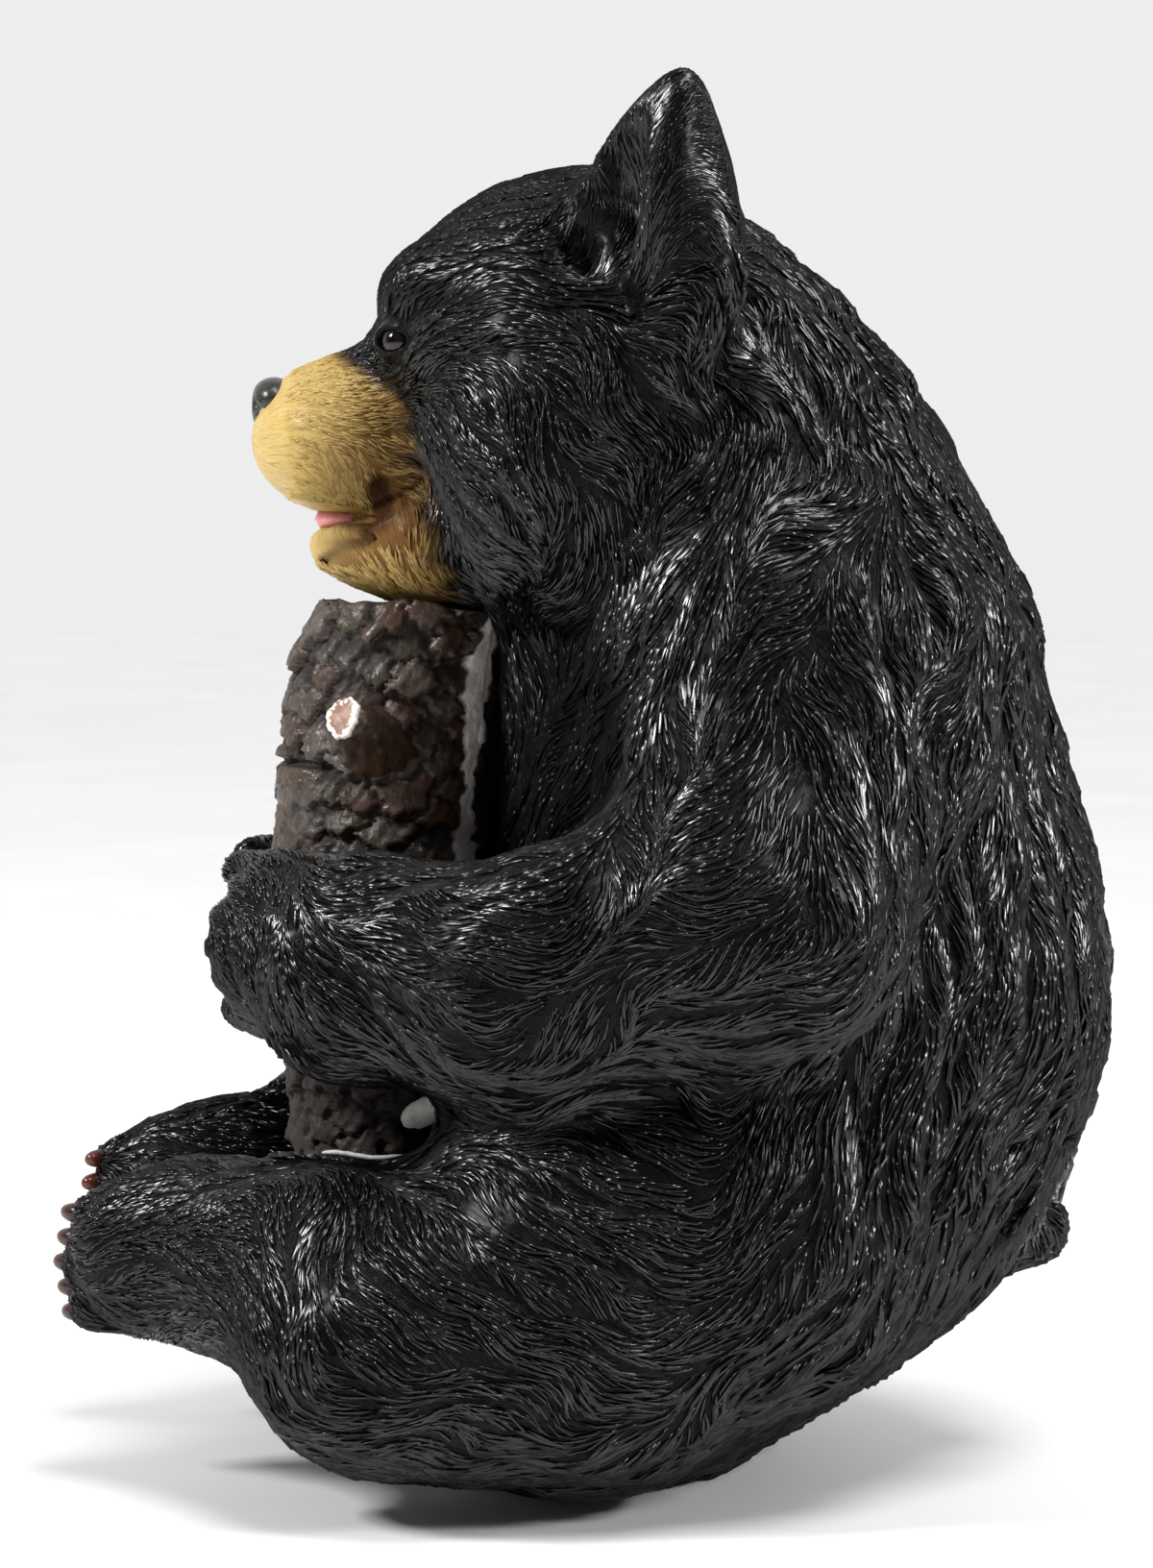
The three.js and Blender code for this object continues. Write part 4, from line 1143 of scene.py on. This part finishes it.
def strokes(name, roots, length, width, height, sway, sections, skin_of):
    """Hairs as closed tapered slivers. Each follows the lie of the hair over the pelt in even
    steps; its cross-sections are triangles with a raised ridge, and it comes to a point at both
    ends, the root under the surface and the tip a little over it."""
    count = len(roots)
    steps = sections + 1
    p = skin_of.settle(roots)
    path, ups, ways = [p], [skin_of.normal(p)], []
    near, _, across = tufts.nearest(p)
    pull = tufts.side[near] * np.clip(across, -1, 1)[:, None] * F(-0.32)
    own = rng.normal(0, 0.07, count).astype(F)
    for _ in range(steps):
        n = ups[-1]
        way = lie(p, n, sway) + pull
        way = unit(way - dot(way, n)[:, None] * n)
        way = way * np.cos(own)[:, None] + np.cross(n, way) * np.sin(own)[:, None]
        p = skin_of.settle(p + way * (length / steps)[:, None], 1)
        path.append(p)
        ways.append(way)
        ups.append(skin_of.normal(p))
    rows = [path[0] - ups[0] * F(0.45)]
    swell = np.sin(np.pi * (np.arange(1, steps) / steps)**0.8)
    for k in range(1, steps):
        side = np.cross(ups[k], ways[k])
        half = (width * (0.35 + 0.65 * swell[k - 1]) / 2)[:, None]
        lift = (height * (0.55 + 0.45 * swell[k - 1]))[:, None]
        rows += [path[k] + side * half - ups[k] * F(0.3), path[k] - side * half - ups[k] * F(0.3),
                 path[k] + ups[k] * lift]
    rows.append(path[-1] + ups[-1] * (height * 0.15)[:, None])
    corners = np.stack(rows, 1)
    each = corners.shape[1]
    tips = [(0, 3, 1), (0, 2, 3), (0, 1, 2)]
    e = each - 4
    tips += [(each - 1, e, e + 2), (each - 1, e + 2, e + 1), (each - 1, e + 1, e)]
    sides = []
    for k in range(sections - 1):
        a, b = 1 + 3 * k, 4 + 3 * k
        sides += [(a, a + 2, b + 2, b), (a + 2, a + 1, b + 1, b + 2), (a + 1, a, b, b + 1)]
    start = (np.arange(count) * each)[:, None, None]
    faces = [(np.array(tips)[None] + start).reshape(-1, 3)]
    faces += [(np.array(sides)[None] + start).reshape(-1, 4)] if sides else []
    flat = corners.reshape(-1, 3)
    shade = np.repeat(rng.random(count), each)
    along = np.tile(np.array([0.3] + [v for k in range(sections) for v in (0.0, 0.0, 1.0)] + [0.8]), count)
    sideways = np.tile(np.array([0] + [1, -1, 0] * sections + [0]), count) * np.repeat(width, each) * 0.6
    forward = np.tile(np.repeat(np.arange(steps + 1), [1] + [3] * sections + [1]), count)
    forward = forward * np.repeat(length / steps, each)
    comb = np.stack([sideways, forward, np.repeat(rng.uniform(0, 999, count), each)], 1)
    piece(name, flat, faces, FUR, "bear", **paint_values(flat, comb, shade, along))


def hairless(p, normal):
    """True where nothing grows: pads, seat, mouth, eyes, nose, worn spots, against the log."""
    m = folded(p)
    bald = pad_mask(p) > 0.5
    bald |= (p[:, 2] < 4) & (normal[:, 2] < -0.5)
    bald |= np.linalg.norm(m - EYE_AT - EYE_OUT * 3, axis=1) < 6.2
    bald |= (nose_distance(p) < 14) | (chain(p, MOUTH_FOLD, 0.5) < 2.0) | (chain(p, LIP_LINE, 0.5) < 3.0)
    bald |= worn_mask(p) > 0.5
    bald |= (rng.random(len(p)) > ramp(p[:, 1], -87, -79)) & (p[:, 2] < 314) & (p[:, 2] > 250)
    bald |= (chain(p, CHIN_CREASE, 0.5) < 0.8) | (ellipsoid(m, *MOUTH_LOBE) < 1.0)
    bald |= ellipsoid(p, (0, -66, 274), (30, 21, 2.2)) < 4.2
    bald |= (p[:, 2] > 263) & (p[:, 2] < 273) & (p[:, 1] < -65)  # the lower lip
    bald |= ellipsoid(m, *EAR_PIT) < 0
    return bald | (log_gap(p) < 2.2)


def grow_fur(cover):
    """Hairs all over: short and dense on the head, long on the body, sparser on the right side."""
    area = face_areas(plain_corners, plain_faces)
    middle = plain_corners[plain_faces].mean(1)
    length = hair_length(middle)
    each = cover * length * hair_width(length) * np.where(on_head(middle), 0.80, 1.0)
    far = 1 - 0.45 * (middle[:, 0] < -6)
    roots = spread(plain_corners, plain_faces, far * area / each, rng)
    roots = roots[~hairless(roots, skin.normal(roots)) & (ear_region(roots) > -4)]
    length = (hair_length(roots) * rng.uniform(0.75, 1.2, len(roots))).astype(F)
    width = hair_width(length) * rng.uniform(0.8, 1.25, len(roots)).astype(F)
    height = (0.24 + 0.052 * length) * rng.uniform(0.7, 1.3, len(roots)).astype(F)
    left = roots[:, 0] > 0
    upper = on_head(roots)
    low = ~upper & (roots[:, 2] <= 112)
    high = ~upper & ~low
    back = high & (roots[:, 1] > 60)
    for name, rows in (("head_left", upper & left), ("head_right", upper & ~left),
                       ("back_left", back & left), ("back_right", back & ~left),
                       ("arm_left", high & ~back & left), ("arm_right", high & ~back & ~left),
                       ("leg_left", low & left), ("leg_right", low & ~left)):
        strokes("fur_" + name, roots[rows], length[rows], width[rows], height[rows], 0.5, 2, pelt)


def grow_ear_fur(cover):
    """Fine short hairs that run up both ears, inside and out."""
    mean_length, mean_width = 13.5, 0.7
    each = cover * mean_length * mean_width
    roots = spread(ear_corners, ear_faces, face_areas(ear_corners, ear_faces) / each, rng)
    roots = roots[~hairless(roots, ears.normal(roots)) & (ear_region(roots) < -4)]
    length = rng.uniform(9.0, 18.0, len(roots)).astype(F)
    width = rng.uniform(0.55, 0.85, len(roots)).astype(F)
    strokes("fur_ears", roots, length, width, width * 0.85, 0.12, 3, ears)


grow_fur(BODY_COVER)
grow_ear_fur(EAR_COVER)


# ---------------------------------------------------------------- eyes, nose, tongue, claws

EYE_RINGS, EYE_AROUND = np.linspace(0.06, 3.08, 18), 28


def round_eye(way):
    """A ball, its pole turned out along the eye's own direction; `ring` runs from pole to pole."""
    lift, turn = np.meshgrid(EYE_RINGS, np.linspace(0, 6.283185, EYE_AROUND, endpoint=False), indexing="ij")
    axes = eye_axes()
    ball = (axes[0] * -np.cos(lift)[..., None] + axes[1] * (np.sin(lift) * np.cos(turn))[..., None]
            + axes[2] * (np.sin(lift) * np.sin(turn))[..., None]) * EYE_RADIUS
    rings = ball + EYE_AT
    ends = [EYE_AT - axes[0] * EYE_RADIUS, EYE_AT + axes[0] * EYE_RADIUS]
    corners, faces = capped(rings, *ends)
    ring = np.concatenate([np.repeat(EYE_RINGS[::-1], EYE_AROUND), [3.14, 0]])
    if way < 0:
        corners = corners * (-1, 1, 1)
        faces = [f[:, ::-1] for f in faces]
    return corners, faces, ring


for way, name in zip(LEFT_AND_RIGHT, ("eye_left", "eye_right")):
    eye_corners, eye_faces, ring = round_eye(way)
    piece(name, eye_corners, eye_faces, EYE, "bear", ring=ring)


def nose_form(p):
    """A broad rounded block with a flat front, two comma nostrils and a split below."""
    m = folded(p)
    d = ellipsoid(p, (0, -88.4, 308.6), (11.4, 6.8, 6.7))
    d = join(d, ellipsoid(p, (0, -89.6, 304.2), (6.0, 5.2, 4.6)), 4)
    d = -join(-d, p[..., 1] + 95.4, 2.5)
    d = carve(d, ellipsoid(m, (4.6, -95.2, 307.6), (2.5, 3.2, 2.6)), 1.2)
    d = carve(d, bar(m, (6.0, -94.2, 306.6), (9.6, -90.0, 304.6), 1.5, 0.8), 1.0)
    return carve(d, bar(p, (0, -96.4, 306.5), (0, -94.5, 298), 0.9, 0.7), 0.8)


nose_field = sampled(nose_form, (-15, -100, 296), (15, -76, 320), NOSE_STEP, 3.0)
nose_corners, nose_faces = net(nose_field)
piece("nose", nose_field.settle(nose_corners, 1), nose_faces, NOSE, "bear")


def tongue():
    """A flat oval carried forwards, its width falling as the root of 1 - 0.8 s^4 towards the tip."""
    s = np.linspace(0, 1, 14)
    path = np.stack([0 * s, -57 - 18.4 * s, 272.4 + 2.0 * np.sin(s * 2.0)], 1)
    half_width, half_height = 13.0 * np.sqrt(1 - 0.80 * s**4), 3.9 * (1 - 0.3 * s**5)
    return tube(path, half_width, half_height, (1, 0, 0), 28, (0.5, 1.4))


piece("tongue", *tongue(), TONGUE, "bear")


CLAW_RINGS, CLAW_AROUND = 9, 12


def claw(root, forward, inward, length, size):
    """A blunt claw: an oval tapering along a path that bends towards the palm or the sole."""
    t = np.linspace(0, 1, CLAW_RINGS)
    turn = 1.25 * t
    path = np.array(root) + length * (np.outer(np.sin(turn) / 1.25, forward)
                                      + np.outer((1 - np.cos(turn)) / 1.25, inward))
    wide = size * np.sqrt(np.clip(1 - (t * 0.86)**2.4, 0.05, 1))
    return tube(path, wide * 0.95, wide, np.cross(forward, inward), CLAW_AROUND, (0.4, 0.5))


def all_claws():
    """Five claws for each hand and foot, each set in the end of its finger or toe, and how far each
    corner lies from root to tip."""
    parts = []
    for way in LEFT_AND_RIGHT:
        inward = np.array((-way, 0.0, 0.0))
        for u in FINGERS:
            root, tip = (np.array(c, float) * (way, 1, 1) for c in finger(u))
            forward = unit(tip - root).astype(float)
            parts.append(claw(tip + forward * 2.8, forward, unit((-way * 0.35, 0.9, 0)), 8.2, 3.2))
            root, tip = (np.array(c, float) for c in toe(u))
            if way < 0:
                root, tip = (c * (-1, 1, 1) + (0, 0, RIGHT_FOOT_LIFT) for c in (root, tip))
            forward = unit(tip - root).astype(float)
            parts.append(claw(tip + forward * 2.8, forward, inward, 7.0, 3.1))
    along = np.repeat(np.clip(np.linspace(-0.3, 1, CLAW_RINGS), 0, 1), CLAW_AROUND)
    corners, faces = merged(parts)
    return corners, faces, np.tile(np.concatenate([along, [0, 1]]), len(parts))


claw_corners, claw_faces, claw_tips = all_claws()
piece("claws", claw_corners, claw_faces, CLAW, "bear", tip=claw_tips)


# ---------------------------------------------------------------- the log

def plates(turn, z, rng):
    """Bark: cells round scattered centres. Each plate stands out from the gaps between them, at
    its own level and tilted so that its lower edge is proud. Gives height and plate number."""
    courses, per_course = 20, 14
    mean_radius, wider_than_tall = 34, 1.7
    rows = np.repeat(np.arange(-1, courses + 1), per_course)
    course_height = (LOG_Z[-1] - LOG_Z[0]) / courses
    seeds_z = LOG_Z[0] + (rows + 0.5 + rng.uniform(-0.42, 0.42, len(rows))) * course_height
    seeds_t = (np.tile(np.arange(per_course), courses + 2) + 0.5 * (rows % 2)
               + rng.uniform(-0.42, 0.42, len(rows))) / per_course * 2 * np.pi
    level, tilt = rng.uniform(-1.3, 1.3, len(rows)), rng.uniform(0.05, 0.46, len(rows))
    lean = rng.uniform(-0.16, 0.16, len(rows))
    height, number = np.zeros(turn.shape), np.zeros(turn.shape)
    for i in range(turn.shape[0]):
        bend_t = turn[i] + 0.035 * np.sin(z[i] * 0.9 + 3 * turn[i])
        bend_t = bend_t + 0.02 * np.sin(z[i] * 2.3 + 7 * turn[i])
        bend_z = z[i] + 0.9 * np.sin(turn[i] * 23 + z[i] * 0.3) + 0.5 * np.sin(turn[i] * 51 - z[i] * 0.9)
        around = (bend_t[:, None] - seeds_t[None] + np.pi) % (2 * np.pi) - np.pi
        du, dv = around * mean_radius / wider_than_tall, bend_z[:, None] - seeds_z[None]
        gaps = np.sqrt(du * du + dv * dv)
        order = np.argpartition(gaps, 1, axis=1)[:, :2]
        pair = np.take_along_axis(gaps, order, 1)
        swap = pair[:, 0] > pair[:, 1]
        first = np.where(swap, order[:, 1], order[:, 0])
        near, next_near = pair.min(1), pair.max(1)
        row = np.arange(len(first))
        edge = ramp(next_near - near, 0.0, 0.8)
        dome = edge * (1.2 - 0.010 * near**2) - 1.1 * (1 - ramp(next_near - near, 0.0, 2.4))
        own = level[first] - tilt[first] * dv[row, first] + lean[first] * du[row, first]
        height[i] = dome + edge * own
        number[i] = first
    return height, number


def knobbly(turn, z):
    """Fine unevenness: sines of turn and height whose waves don't line up."""
    a = np.sin(31 * turn + 0.9 * z) * np.sin(1.7 * z + 3 * np.sin(5 * turn))
    b = np.sin(57 * turn - 1.3 * z) * np.sin(2.9 * z + 2 * np.sin(9 * turn))
    return 0.20 * a + 0.12 * b


def log_skin():
    """The wall is the log's radius plus the bark, on a grid of turn and height; both ends close
    over to their middles with shallow rings."""
    around, up, ring_count = 250, 190, 9
    turn = np.linspace(0, 2 * np.pi, around, endpoint=False)
    z = np.linspace(LOG_LOW[2] + 1.2, LOG_HIGH[2] - 1.2, up)
    tt, zz = np.meshgrid(turn, z, indexing="ij")
    height, number = plates(tt, zz, np.random.default_rng(23))
    height, number, tt, zz = (a.T for a in (height, number, tt, zz))
    slit = ramp(-np.abs(zz - 204), -1.6, -0.4) * ramp(np.cos(tt + np.pi / 2), 0.45, 0.7)
    plate_below = ramp(-np.abs(zz - 191), -13, -11) * ramp(np.cos(tt + np.pi / 2), 0.5, 0.75)
    height = height * (1 - 0.65 * plate_below) + 0.9 * plate_below - 3.0 * slit
    strip_at = curve(zz, [84, 178, 207, 236, 250], [.57, .71, .79, .90, .94]) + 0.02 * np.sin(zz * 0.61)
    strip_half = curve(zz, [84, 160, 176, 190, 200, 212, 227, 239, 248],
                       [.06, .15, .14, .085, .06, .11, .20, .18, .06]) + 0.016 * np.sin(zz * 1.3)
    strip = 1 - ramp(np.abs(tt - strip_at), strip_half * 0.82, strip_half)
    behind = ramp(tt, 0.92, 0.99) * (1 - ramp(tt, 2.34, 2.40))
    glued = ramp(np.sin(tt), 0.978, 0.998)  # a ridge down the back, bedded in the chest
    height = height * (1 - strip) * (1 - 0.55 * behind) + 0.5 * strip - 1.2 * behind + 4.2 * glued
    height += knobbly(tt, zz) * (1 - 0.5 * strip) - 1.5
    reach = curve(zz, LOG_Z, LOG_RADIUS) + height
    axis = curve(zz, LOG_Z, LOG_AXIS)
    notch = 1.3 + np.sin(3 * tt + 1) * 0.7 + np.sin(8 * tt + 2) * 0.6 + np.sin(17 * tt) * 0.5
    notch *= 0.15 + ramp(-np.sin(tt), 0.1, 0.8)
    rim = 3.0 * ramp(np.cos(tt + 0.55), 0.55, 0.95) + 0.8 * np.sin(6 * tt + 1)
    lift = (rim - notch) * ramp(zz, 236, 249)
    rings = np.stack([reach * np.cos(tt), axis + reach * np.sin(tt), zz + lift], -1)
    # depth is how deep the bark lies between the plates, cut down below z 112 to 135 so that the log's foot
    # under the forearm goes dark: painted shade.
    depth = ramp(height, -2.4, 0.9) * (0.12 + 0.88 * ramp(zz, 112, 135))
    tint = (number * 0.6180339) % 1.0
    blocks, values = [rings], [np.stack([depth, tint, strip], -1)]
    for end, z_end, sign in ((0, LOG_LOW[2], -1), (-1, LOG_HIGH[2], 1)):
        t = np.linspace(1, 0, ring_count + 1)[:-1] * 0.985
        middle = np.array([0, axis[end].mean(), z_end])
        edge = rings[end]
        inner = middle + (edge - middle) * t[:, None, None]
        dip = 0.5 * np.sin(t * 26)[:, None] + 0.25 * np.sin(turn * 7)[None] * t[:, None]
        inner[..., 2] = z_end - sign * 0.5 + sign * 0.4 * dip
        inner[..., 2] += (edge[:, 2] - z_end + sign * 0.3) * t[:, None]**6 * (sign > 0)
        attrs = np.stack([0.5 + 0 * dip, 0.3 + 0 * dip, 0.25 * (t > 0.9)[:, None] + 0 * dip], -1)
        if sign < 0:
            blocks.insert(0, inner[::-1])
            values.insert(0, attrs[::-1])
        else:
            blocks.append(inner)
            values.append(attrs)
    rings, attrs = np.concatenate(blocks), np.concatenate(values).reshape(-1, 3)
    bottom, top = (0, axis[0].mean(), LOG_LOW[2] + 0.4), (0, axis[-1].mean(), LOG_HIGH[2] - 0.4)
    corners, faces = capped(rings, bottom, top)
    return corners, faces, np.concatenate([attrs, [[0.5, 0.3, 0.0]] * 2])


def branch_skin():
    """A stub: rings round a path that leaves the log sideways, lumpy like the bark."""
    path = np.array([(21, -56, 207.0), (28, -58.5, 210), (35, -61.5, 213), (41, -64, 215.5),
                     (46.4, -66.2, 218)])
    rings, around = 22, 48
    s = np.linspace(0, 1, rings)
    fine = np.stack([curve(s, np.linspace(0, 1, 5), path[:, k]) for k in range(3)], 1).astype(float)
    radius = curve(s, [0, .3, .6, .85, 1], [13, 11.2, 8.9, 7.1, 5.7]).astype(float)
    corners, faces = tube(fine, radius * 0.9, radius * 1.08, (0, 0, 1), around, (0.5, 0.0))
    turn = np.tile(np.linspace(0, 2 * np.pi, around, endpoint=False), rings)
    along = np.repeat(s, around)
    lump = 0.7 * np.sin(5 * turn + 7 * along) * np.sin(9 * along + 2 * np.sin(3 * turn))
    lump += 0.35 * np.sin(11 * turn - 19 * along)
    middle = np.repeat(fine, around, axis=0)
    outward = corners[:-2] - middle
    outward /= np.linalg.norm(outward, axis=1, keepdims=True)
    corners[:-2] += outward * (lump * (1 - along**6))[:, None]
    attrs = np.stack([np.clip(0.55 + 0.5 * lump, 0, 1), 0.25 + 0 * lump, 0 * lump], -1)
    return corners, faces, np.concatenate([attrs, [[0.3, 0.2, 0]] * 2])


def joined_skins(skins):
    """Skins and their paint values as one."""
    corners, faces = merged([(c, f) for c, f, _ in skins])
    return corners, faces, np.concatenate([a for _, _, a in skins])


log_corners, log_faces, log_paint = joined_skins([log_skin(), branch_skin()])
piece("log_bark", log_corners, log_faces, BARK, "log",
      depth=log_paint[:, 0], tint=log_paint[:, 1], bare=log_paint[:, 2])


def branch_end():
    """The cut face: a thin disc, its rim ragged, its middle a little dished."""
    outward = unit((0.80, -0.45, 0.40)).astype(float)
    side = unit(np.cross(outward, (0, 0, 1))).astype(float)
    up = np.cross(side, outward)
    around = 60
    turn = np.linspace(0, 2 * np.pi, around, endpoint=False)
    ragged = 1 + 0.07 * np.sin(3 * turn + 1) + 0.05 * np.sin(8 * turn) + 0.03 * np.sin(17 * turn + 2)
    centre = np.array((47.2, -66.6, 218.6))
    across = side * (np.cos(turn) * ragged)[:, None] * 5.1 + up * (np.sin(turn) * ragged)[:, None] * 6.1
    rings, rim = [], []
    for share, lift in ((0.9, -1.6), (1.0, -0.6), (1.0, 0.2), (0.95, 0.55), (0.85, 0.6), (0.7, 0.35),
                        (0.5, 0.15), (0.25, 0.1)):
        rings.append(centre + outward * lift + across * share)
        rim.append(np.full(around, share if lift > -1 else 1.0))
    rings = np.stack(rings)
    corners, faces = capped(rings, centre - outward * 1.6, centre + outward * 0.05)
    return corners, faces, np.concatenate([np.concatenate(rim), [1.0, 0.0]])


end_corners, end_faces, end_rim = branch_end()
piece("branch_end", end_corners, end_faces, BRANCH_END, "log", rim=end_rim)


def filler_dab():
    """A dab of filler squeezed out under the arm: a tube whose size swells fast to a lump, as the
    root of a sine, and thins slowly into a tail. Its rings lie closer together at the ends."""
    s = (1 - np.cos(np.linspace(0, np.pi, 20))) / 2
    path = np.stack([38 + 14 * s, -49.5 + 22 * s, 102.0 + 11.5 * s**0.8], 1)
    size = 4.3 * np.sqrt(np.sin(np.pi * (0.003 + 0.99 * s)**0.62)) * (1 - 0.35 * s)
    corners, faces = tube(path, size * 0.8, size, (1, 0, 0), 22, (0.8, 0.5))
    wob = np.sin(corners[:, 1] * 1.3) * np.sin(corners[:, 2] * 1.7) * 0.7
    return corners + wob[:, None] * np.array((0.5, 0.2, 0.7)), faces


def glue_line():
    """A thin bead of glue, dried white, round the log's left front just above its foot."""
    turn = np.linspace(-0.70, 0.06, 30)
    path = np.stack([33.4 * np.cos(turn), -52.2 + 33.4 * np.sin(turn), 92.0 + 0.5 * np.sin(turn * 9)], 1)
    size = 0.75 * np.sqrt(np.clip(1 - ((turn + 0.32) / 0.40)**4, 0.05, 1))
    return tube(path, size, size * 1.3, (0, 0, 1), 10, (0.3, 0.3))


piece("filler_dab", *filler_dab(), RESIN, "log")
piece("glue_line", *glue_line(), RESIN, "log")


# ---------------------------------------------------------------- floor, light and camera

FLOOR_SIZE, FLOOR_GAP = 14, 0.0002  # metres, as the places below are
bpy.ops.mesh.primitive_plane_add(size=FLOOR_SIZE, location=(0, 0, CAD_BOX[0][2] - FLOOR_GAP))
floor = bpy.context.object
floor.name = "floor"
floor.data.materials.append(FLOOR)


def softbox(name, place, target, size, power, tone):
    """A square area light that faces its target."""
    data = bpy.data.lights.new(name, "AREA")
    data.shape, data.size, data.energy, data.color = "SQUARE", size, power, tone
    lamp = bpy.data.objects.new(name, data)
    lamp.location = place
    lamp.rotation_euler = (Vector(target) - Vector(place)).to_track_quat("-Z", "Y").to_euler()
    bpy.context.scene.collection.objects.link(lamp)


MIDDLE = (0, 0, 0.2)
softbox("key", (0.55, -1.50, 1.40), MIDDLE, 0.42, 35, (1.0, 1.0, 1.0))
softbox("side_fill", (0.75, 1.6, 1.0), MIDDLE, 0.4, 27, (0.97, 0.99, 1.0))
above = bpy.data.lights.new("overhead", "SUN")
above.energy, above.angle = 2.0, math.radians(24)
lamp = bpy.data.objects.new("overhead", above)
lamp.rotation_euler = (math.radians(-14), math.radians(16), 0)
bpy.context.scene.collection.objects.link(lamp)

world = bpy.data.worlds.new("studio")
world.use_nodes = True
sky = Wiring(world.node_tree)
across_room = sky.add("SeparateXYZ", Vector=sky.add("TexCoord").outputs["Generated"]).outputs["X"]
backdrop = sky.between(across_room, -0.75, 0.35, 0.85, 0.09)
world.node_tree.links.new(backdrop, world.node_tree.nodes["Background"].inputs["Strength"])
world.node_tree.nodes["Background"].inputs["Color"].default_value = (1.0, 1.0, 1.0, 1.0)
bpy.context.scene.world = world
bpy.context.scene.view_settings.view_transform = "Standard"

CAMERA_AT, LENS, LOOKS_DOWN = (1.456, -0.0005, 0.292), 114.706, math.radians(3.7409)
camera_data = bpy.data.cameras.new("camera")
camera_data.sensor_width = 36.0
camera_data.lens = LENS
camera = bpy.data.objects.new("camera", camera_data)
camera.location = CAMERA_AT
camera.rotation_euler = (math.pi / 2 - LOOKS_DOWN, 0, math.pi / 2)
bpy.context.scene.collection.objects.link(camera)
bpy.context.scene.camera = camera
